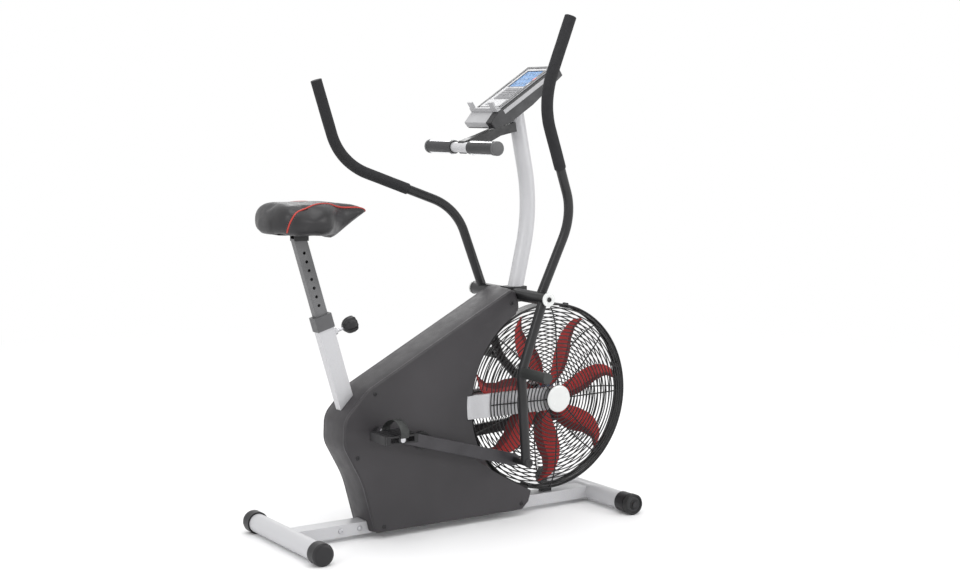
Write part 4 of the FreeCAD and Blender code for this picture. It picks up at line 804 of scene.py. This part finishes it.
# ---- Drive ----
def make_pedals():
    """Open cages with ribs along both treads, a sleeve round the spindle and a toe strap."""
    for side_name, side in SIDES:
        node = side_name + "_pedal"
        low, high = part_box(node)
        pin = PLACES[side_name + "_pedal_spin"]
        near, far = sorted((abs(low.y), abs(high.y)))
        half = (high.x - low.x) / 2
        body = Build()
        hole = 0.0072

        def slab(low_corner, high_corner):
            ends = sorted((side * low_corner[1], side * high_corner[1]))
            body.block((pin.x + low_corner[0], ends[0], pin.z + low_corner[2]),
                       (pin.x + high_corner[0], ends[1], pin.z + high_corner[2]))

        for y in (near, far - 0.009):
            slab((-half, y, -0.0115), (-half + 0.012, y + 0.009, 0.0115))
            slab((half - 0.012, y, -0.0115), (half, y + 0.009, 0.0115))
            slab((-half + 0.010, y + 0.001, 0.006), (half - 0.010, y + 0.008, 0.0105))
            slab((-half + 0.010, y + 0.001, -0.0105), (half - 0.010, y + 0.008, -0.006))
        for x in (-half, half - 0.011):
            slab((x, near + 0.006, -0.0115), (x + 0.011, far - 0.006, 0.0115))
        ribs = 6
        for index in range(ribs):
            y = near + 0.016 + (far - near - 0.032) * index / (ribs - 1)
            for top in (-1, 1):
                low_z, high_z = sorted((top * 0.0085, top * 0.0118))
                slab((-half + 0.008, y - 0.0018, low_z), (half - 0.008, y + 0.0018, high_z))
        show(body.done(node + "_cage", bevel=0.0008), "black_plastic", node, replaces=[node])
        sleeve = Build()
        length = far - near
        sleeve.lathe([(hole, 0.0), (0.0115, 0.0), (0.0122, 0.001), (0.0122, length - 0.001), (0.0115, length),
                      (hole, length)], Vector((pin.x, side * near, pin.z)), Y * side, 40)
        show(sleeve.done(node + "_sleeve"), "black_plastic", node)
        make_strap(node, side, pin, near, far)


def make_strap(node, side, pin, near, far):
    """The toe strap: a flat band that arches over the front half of the pedal."""
    arch = [(0.004, near - 0.002, 0.004), (0.006, near - 0.001, 0.020), (0.008, near + 0.018, 0.036),
            (0.010, (near + far) / 2, 0.043), (0.008, far - 0.018, 0.036), (0.006, far + 0.001, 0.020),
            (0.004, far + 0.002, 0.004)]
    points = [Vector((pin.x + x, side * y, pin.z + z)) for x, y, z in arch]
    width, thick = 0.024, 0.0022
    rows = []
    path = curve_through(points, 8)
    for i, here in enumerate(path):
        ahead = (path[min(i + 1, len(path) - 1)] - path[max(i - 1, 0)]).normalized()
        out = ahead.cross(X).normalized()
        row = []
        for x, lift in ((-0.5, 0.0), (-0.46, 1.0), (0.46, 1.0), (0.5, 0.0), (0.46, -1.0), (-0.46, -1.0)):
            row.append(here + X * (x * width) + out * (lift * thick / 2))
        rows.append(row)
    strap = Build()
    strap.grid(rows, close_columns=True)
    strap.cap(rows[0])
    strap.cap(rows[-1], flip=True)
    show(strap.done(node + "_strap", 50.0), "peg_rubber", node)
    slots = Build()
    for i in range(12, 30, 3):
        here = path[i]
        ahead = (path[i + 1] - path[i - 1]).normalized()
        out = ahead.cross(X).normalized()
        lift = out if out.z > 0 else -out
        slots.tube([here + lift * 0.0012 - X * 0.007, here + lift * 0.0012 + X * 0.007], 0.0009, 8)
    show(slots.done(node + "_strap_ribs", 50.0), "black_plastic", node)


def make_crank_details():
    """The bolts at the ends of the crank axle, and a washer on each link's rear eye."""
    crank = PLACES["crank_turn"]
    low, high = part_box("crank_arms")
    bolts = Build()
    for side, face in ((-1, low.y), (1, high.y)):
        centre = Vector((crank.x, face, crank.z))
        bolts.lathe([(0.0, -0.004), (0.0125, -0.004), (0.0125, 0.0018), (0.0115, 0.0030), (0.0085, 0.0036),
                     (0.0065, 0.0020), (0.0, 0.0020)], centre, Y * side, 40)
    show(bolts.done("crank_bolts"), "bright_steel", "crank")
    for side_name, side in SIDES:
        link_low, link_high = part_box(side_name + "_link")
        face = link_low.y if side < 0 else link_high.y
        pin = PLACES[side_name + "_link_turn"]
        washer = Build()
        washer.lathe([(0.0075, -0.0005), (0.0135, -0.0005), (0.0142, 0.0004), (0.0142, 0.0022),
                      (0.0130, 0.0030), (0.0075, 0.0030)], Vector((pin.x, face, pin.z)), Y * side, 40)
        show(washer.done(side_name + "_link_washer"), "bright_steel", side_name + "_link")


def make_arm_bolts():
    """The bolt head seen at the foot of each rocking arm."""
    tube_y = 0.157
    for side_name, side in SIDES:
        foot = foot_of_arm(side_name)
        head = Build()
        start = Vector((foot.x, side * tube_y + side * 0.010, foot.z))
        head.lathe([(0.0, 0.0), (0.0118, 0.0), (0.0124, 0.0008), (0.0124, 0.0045), (0.0112, 0.0062),
                    (0.0072, 0.0070), (0.0058, 0.0055), (0.0, 0.0055)], start, Y * side, 36)
        show(head.done(side_name + "_arm_bolt"), "black_steel", side_name + "_arm")


def foot_of_arm(side_name):
    """Middle of the lowest part of an arm, where its bolt crosses the tube."""
    mesh = NODES[side_name + "_arm"].data
    lowest = min(vertex.co.z for vertex in mesh.vertices)
    near = [vertex.co for vertex in mesh.vertices if vertex.co.z < lowest + 0.02]
    return sum(near, Vector()) / len(near)


# ---- Feet, wheels, screws and pivot ----
def socket_screw(mesh, base, outward, radius, height, look_depth=0.45):
    """A button head with a recessed centre."""
    mesh.lathe([(0.0, -0.001), (radius, -0.001), (radius, height * 0.35), (radius * 0.86, height * 0.8),
                (radius * 0.55, height), (radius * 0.44, height), (radius * 0.40, height * look_depth),
                (0.0, height * look_depth)], base, outward, 28)


def make_screws():
    """Socket heads where the CAD has the cover's screws and the frame's bolts."""
    screws = Build()
    for low, high in islands("cover_screws"):
        centre = (low + high) / 2
        side = 1 if centre.y > 0 else -1
        face = low.y if side > 0 else high.y
        socket_screw(screws, Vector((centre.x, face, centre.z)), Y * side, 0.0058, 0.0024)
    show(screws.done("cover_screw_heads"), "black_plastic", "frame", ["cover_screws"])
    bolts = Build()
    for low, high in islands("frame_bolts"):
        centre = (low + high) / 2
        side = 1 if centre.y > 0 else -1
        face = (high.y - 0.004) if side > 0 else (low.y + 0.004)
        socket_screw(bolts, Vector((centre.x, face, centre.z)), Y * side, 0.0070, 0.0038)
    show(bolts.done("frame_bolt_heads"), "bright_steel", "frame", ["frame_bolts"])


def islands(node):
    """Low and high corners of each separate solid of a CAD node."""
    mesh = bmesh.new()
    mesh.from_mesh(NODES[node].data)
    bmesh.ops.remove_doubles(mesh, verts=mesh.verts, dist=1e-5)
    left = set(mesh.verts)
    found = []
    while left:
        queue = [left.pop()]
        group = []
        while queue:
            vertex = queue.pop()
            group.append(vertex.co.copy())
            for edge in vertex.link_edges:
                other = edge.other_vert(vertex)
                if other in left:
                    left.remove(other)
                    queue.append(other)
        found.append((Vector(map(min, zip(*group))), Vector(map(max, zip(*group)))))
    mesh.free()
    return sorted(found, key=lambda pair: tuple(pair[0]))


def make_pivot_discs():
    """White discs at the ends of the pivot axle, each with a dark socket bolt."""
    pivot = PLACES["right_arm_rock"]
    low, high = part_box("pivot_washers")
    radius = high.x - pivot.x
    discs, bolts = Build(), Build()
    for side in (-1, 1):
        outer = high.y if side > 0 else -low.y
        start = Vector((pivot.x, side * (outer - 0.009), pivot.z))
        discs.lathe([(0.0, 0.0), (radius - 0.001, 0.0), (radius, 0.001), (radius, 0.0038),
                     (radius - 0.0015, 0.005), (radius * 0.62, 0.0056), (radius * 0.45, 0.0046),
                     (0.0, 0.0046)], start, Y * side, 56)
        socket_screw(bolts, start + Y * (side * 0.0046), Y * side, 0.0065, 0.0042)
    show(discs.done("pivot_discs"), "white_plastic", "frame", replaces=["pivot_washers"])
    show(bolts.done("pivot_bolts"), "black_steel", "frame")


def make_wheel_faces():
    """Pale recessed centres of the transport wheels."""
    for side_name, side in SIDES:
        node = "transport_wheel_" + side_name
        low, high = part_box(node)
        outer = high.y if side > 0 else -low.y
        centre = Vector((middle(node).x, side * (outer - 0.0042), middle(node).z))
        face = Build()
        face.lathe([(0.0065, 0.0), (0.0140, 0.0), (0.0150, 0.0012), (0.0200, 0.0012), (0.0212, 0.0004),
                    (0.0212, -0.001), (0.0065, -0.001)], centre, Y * side, 48)
        show(face.done(node + "_face"), "dark_plastic", side_name + "_wheel")


# ---- Console ----
def console_axes():
    """The console's own axes: up its slope, across, and out of its face."""
    out = -joint_axis("mode_press")
    return Matrix((Y.cross(out).normalized(), Y, out)).transposed()


def in_axes(node, axes):
    """A node's box in the console's axes."""
    back = axes.transposed()
    points = [back @ vertex.co for vertex in NODES[node].data.vertices]
    return Vector(map(min, zip(*points))), Vector(map(max, zip(*points)))


def make_console():
    """Rounded shells with raised panels and marks, the lens, two buttons, side strips and the nose."""
    axes = console_axes()
    low, high = in_axes("console_bezel", axes)
    softened("console_housing", "dark_plastic", "frame", 0.004, segments=3)
    softened("console_bezel", "silver_plastic", "frame", 0.0012)
    softened("reading_rack", "silver_plastic", "frame", 0.0014, segments=3)
    top = high.z
    middle_y = (low.y + high.y) / 2

    def panel(name, x0, x1, y0, y1, height, look, bevel=0.0006, sink=0.0004):
        """A flat raised panel on the bezel; x runs up the slope from its low end."""
        build = Build()
        build.block((low.x + x0, middle_y + y0, top - sink), (low.x + x1, middle_y + y1, top + height), axes)
        show(build.done(name, bevel=bevel), look, "frame")

    length, half = high.x - low.x, (high.y - low.y) / 2
    for side in (-1, 1):
        y0, y1 = sorted((side * (half - 0.001), side * (half - 0.011)))
        panel("console_border_%s" % ("left" if side > 0 else "right"), 0.004, length - 0.002, y0, y1, 0.0012,
              "dark_plastic")
    panel("console_border_top", length - 0.010, length - 0.001, -half + 0.004, half - 0.004, 0.0012,
          "dark_plastic")
    panel("console_lower_panel", 0.006, 0.040, -half + 0.014, half - 0.014, 0.0016,
          "silver_plastic")
    panel("console_middle_panel", 0.045, 0.098, -half + 0.016, half - 0.030, 0.0010,
          "pale_plastic")
    panel("console_slot", 0.014, 0.020, 0.012, 0.032, 0.0020, "ink", 0.0003)
    for row in range(4):
        x = 0.052 + 0.011 * row
        panel("console_mark_%d" % (row + 1), x, x + 0.0012, -half + 0.022, half - 0.036, 0.0014,
              "dark_plastic", 0.0002)
    make_lens(axes)
    for node, look in (("console_button_1", "silver_plastic"), ("console_button_2", "red_button")):
        cap = Build()
        cap.block(*in_axes(node, axes), axes)
        show(cap.done(node + "_cap", bevel=0.0016, segments=3), look, body_of(node), replaces=[node])
    stripes = Build()
    house_low, house_high = in_axes("console_housing", axes)
    for y in (house_low.y - 0.0004, house_high.y - 0.0008):
        stripes.block((low.x + 0.002, y, top - 0.020), (high.x - 0.004, y + 0.0012, top - 0.0085),
                      axes)
    show(stripes.done("console_side_strips", bevel=0.0005), "silver_plastic", "frame")
    make_nose(axes, low.x - 0.012, top - 0.003, middle_y, half + 0.006)


# Outline of the nose, in millimetres up the slope and out of the face.
NOSE = ((2.0, 1.4), (-36.4, -10.6), (-37.6, -12.2), (-35.8, -27.5), (-34.0, -27.5), (-35.6, -12.6),
        (2.0, -0.4))


def make_nose(axes, x, z, y, half):
    """The silver nose that wraps the console's low end, with a black corner on the rider's right."""
    for name, look, slot, start, end in (("console_nose", "silver_plastic", "silver_plastic", -0.040, half),
                                         ("console_corner", "black_plastic", "dark_plastic", -half, -0.0405)):
        rows = []
        for across in (start, end):
            rows.append([axes @ Vector((x + px * MM, y + across, z + pz * MM)) for px, pz in NOSE])
        nose = Build()
        nose.grid(rows, close_columns=True)
        nose.cap(rows[0])
        nose.cap(rows[1], flip=True)
        show(nose.done(name, bevel=0.0008), look, "frame")


def make_lens(axes):
    """The display window in its surround, with rows of unlit numbers."""
    low, high = in_axes("console_lens", axes)
    glass = Build()
    glass.block(low, high, axes)
    window = glass.done("display_window", bevel=0.0012, segments=3)
    show(window, "display", "frame", replaces=["console_lens"])
    surround = Build()
    edge = 0.003
    for x0, x1, y0, y1 in ((low.x - edge, low.x, low.y - edge, high.y + edge),
                           (high.x, high.x + edge, low.y - edge, high.y + edge),
                           (low.x, high.x, low.y - edge, low.y), (low.x, high.x, high.y, high.y + edge)):
        surround.block((x0, y0, high.z - 0.002), (x1, y1, high.z + 0.0012), axes)
    show(surround.done("display_surround", bevel=0.0005), "pale_plastic", "frame")
    segments = Build()
    rows, columns = 3, 4
    for row in range(rows):
        for column in range(columns):
            x = low.x + 0.010 + (high.x - low.x - 0.030) * row / (rows - 1)
            y = low.y + 0.009 + (high.y - low.y - 0.024) * column / (columns - 1)
            for x0, y0, x1, y1 in digit_bars():
                segments.block((x + x0, y + y0, high.z - 0.0001), (x + x1, y + y1, high.z + 0.0002), axes)
    show(segments.done("display_segments"), "ink", "frame")


def digit_bars():
    """The seven bars of an unlit number, as (x, y) boxes; all seven read as a plain 8."""
    tall, wide, thick = 0.010, 0.006, 0.0009
    flat = [(x, 0.0, x + thick, wide) for x in (0.0, tall / 2, tall)]
    upright = [(x, y, x + tall / 2, y + thick) for x in (0.0, tall / 2) for y in (0.0, wide - thick)]
    return flat + upright


def make_pulse_grips():
    """Moulded halves with bright contact plates along their tops and round end caps."""
    plates, caps, screws = Build(), Build(), Build()
    for low, high in islands("pulse_grips"):
        centre = (low + high) / 2
        radius = (high.z - low.z) / 2
        side = 1 if centre.y > 0 else -1
        inner, outer = (low.y, high.y) if side > 0 else (high.y, low.y)
        for top in (1, -1):
            rows = []
            for i in range(17):
                y = inner + (outer - inner) * (0.08 + 0.80 * i / 16)
                row = []
                for turn in (math.radians(90 * top + a) for a in range(-38, 39, 4)):
                    out = Vector((math.cos(turn), 0, math.sin(turn))) * (radius + 0.0006)
                    row.append(Vector((centre.x, y, centre.z)) + out)
                rows.append(row)
            plates.grid(rows)
        caps.lathe([(0.0, 0.0022), (radius * 0.6, 0.0021), (radius * 0.92, 0.0012), (radius + 0.0008, -0.001),
                    (radius + 0.0010, -0.008), (radius + 0.0002, -0.0085), (0.0, -0.0085)],
                   Vector((centre.x, outer, centre.z)), Y * side, 48)
        under = Vector((centre.x, inner + side * 0.012, centre.z - radius + 0.0012))
        socket_screw(screws, under, -Z, 0.0045, 0.0030)
    show(plates.done("pulse_plates", 60.0), "chrome", "frame")
    show(caps.done("pulse_end_caps"), "collar_plastic", "frame")
    show(screws.done("pulse_screws"), "bright_steel", "frame")


# ---- Stage ----
WORLD_LIGHT = 1.0
FLOOR_RADIUS, FADE_START, FADE_END = 40, 1.2, 4.0


def make_floor():
    """A wide pale disc that fades into the bright surroundings."""
    graph = Graph("floor")
    place = graph.add("ShaderNodeNewGeometry")
    away = graph.add("ShaderNodeVectorMath", operation="LENGTH")
    graph.links.new(place.outputs["Position"], away.inputs[0])
    fade = graph.spread(away.outputs["Value"], 0.0, 1.0, FADE_START, FADE_END)
    glow = graph.add("ShaderNodeEmission")
    glow.inputs["Color"].default_value = (1.0, 1.0, 1.0, 1)
    glow.inputs["Strength"].default_value = WORLD_LIGHT
    mix = graph.add("ShaderNodeMixShader")
    graph.links.new(fade, mix.inputs["Fac"])
    graph.links.new(graph.shader.outputs["BSDF"], mix.inputs[1])
    graph.links.new(glow.outputs["Emission"], mix.inputs[2])
    graph.links.new(mix.outputs["Shader"], graph.nodes["Material Output"].inputs["Surface"])
    graph.fix(Base_Color=(0.93, 0.93, 0.935, 1), Roughness=0.55, Specular_IOR_Level=0.2)
    disc = Build()
    disc.cap([Vector((math.cos(t) * FLOOR_RADIUS, math.sin(t) * FLOOR_RADIUS, -0.0003)) for t in turns(96)])
    floor = mesh_object("floor", disc.verts, disc.faces)
    floor.data.materials.append(graph.material)


def make_lights():
    """An even white world and four soft area lamps aimed at the middle of the machine."""
    world = bpy.data.worlds.new("studio")
    world.use_nodes = True
    sky = world.node_tree.nodes["Background"].inputs
    sky["Color"].default_value = (1.0, 1.0, 1.0, 1)
    sky["Strength"].default_value = WORLD_LIGHT
    bpy.context.scene.world = world
    target = Vector((0.0, 0.0, 0.6))
    lamps = (("overhead", (-0.3, -0.6, 3.4), 2.2, 34.0), ("near_left", (-3.2, -1.4, 2.2), 1.0, 20.0),
             ("near_right", (2.4, -3.2, 1.6), 0.9, 26.0), ("behind", (1.2, 3.0, 2.6), 1.2, 14.0))
    for name, place, size, power in lamps:
        lamp = bpy.data.lights.new(name, "AREA")
        lamp.size = size
        lamp.energy = power
        holder = bpy.data.objects.new(name, lamp)
        holder.location = place
        holder.rotation_euler = (target - Vector(place)).to_track_quat("-Z", "Y").to_euler()
        bpy.context.scene.collection.objects.link(holder)


def make_camera():
    """A long lens behind the rider's right, a little below the console."""
    azimuth, elevation = math.radians(-33.1324), math.radians(6.4966)
    back = Vector((math.sin(azimuth) * math.cos(elevation), -math.cos(azimuth) * math.cos(elevation),
                   math.sin(elevation)))
    lens = bpy.data.cameras.new("camera")
    lens.lens = 60.657
    lens.sensor_width = 36.0
    holder = bpy.data.objects.new("camera", lens)
    holder.location = (-2.29896, -3.64959, 1.12132)
    holder.rotation_euler = back.to_track_quat("Z", "Y").to_euler()
    bpy.context.scene.collection.objects.link(holder)
    bpy.context.scene.camera = holder
    bpy.context.scene.view_settings.view_transform = "Standard"


# ---- Build ----
make_camera()
make_lights()
make_floor()
dress_cad()
make_pan()
make_saddle()
make_grips()
make_knob()
for guard_side, side_sign in SIDES:
    make_guard(side_sign, guard_side + "_guard_wires", "guard_" + guard_side)
make_blades()
make_hub()
make_hub_caps()
make_rim_wires()
make_pedals()
make_crank_details()
make_arm_bolts()
make_screws()
make_pivot_discs()
make_wheel_faces()
make_console()
make_pulse_grips()
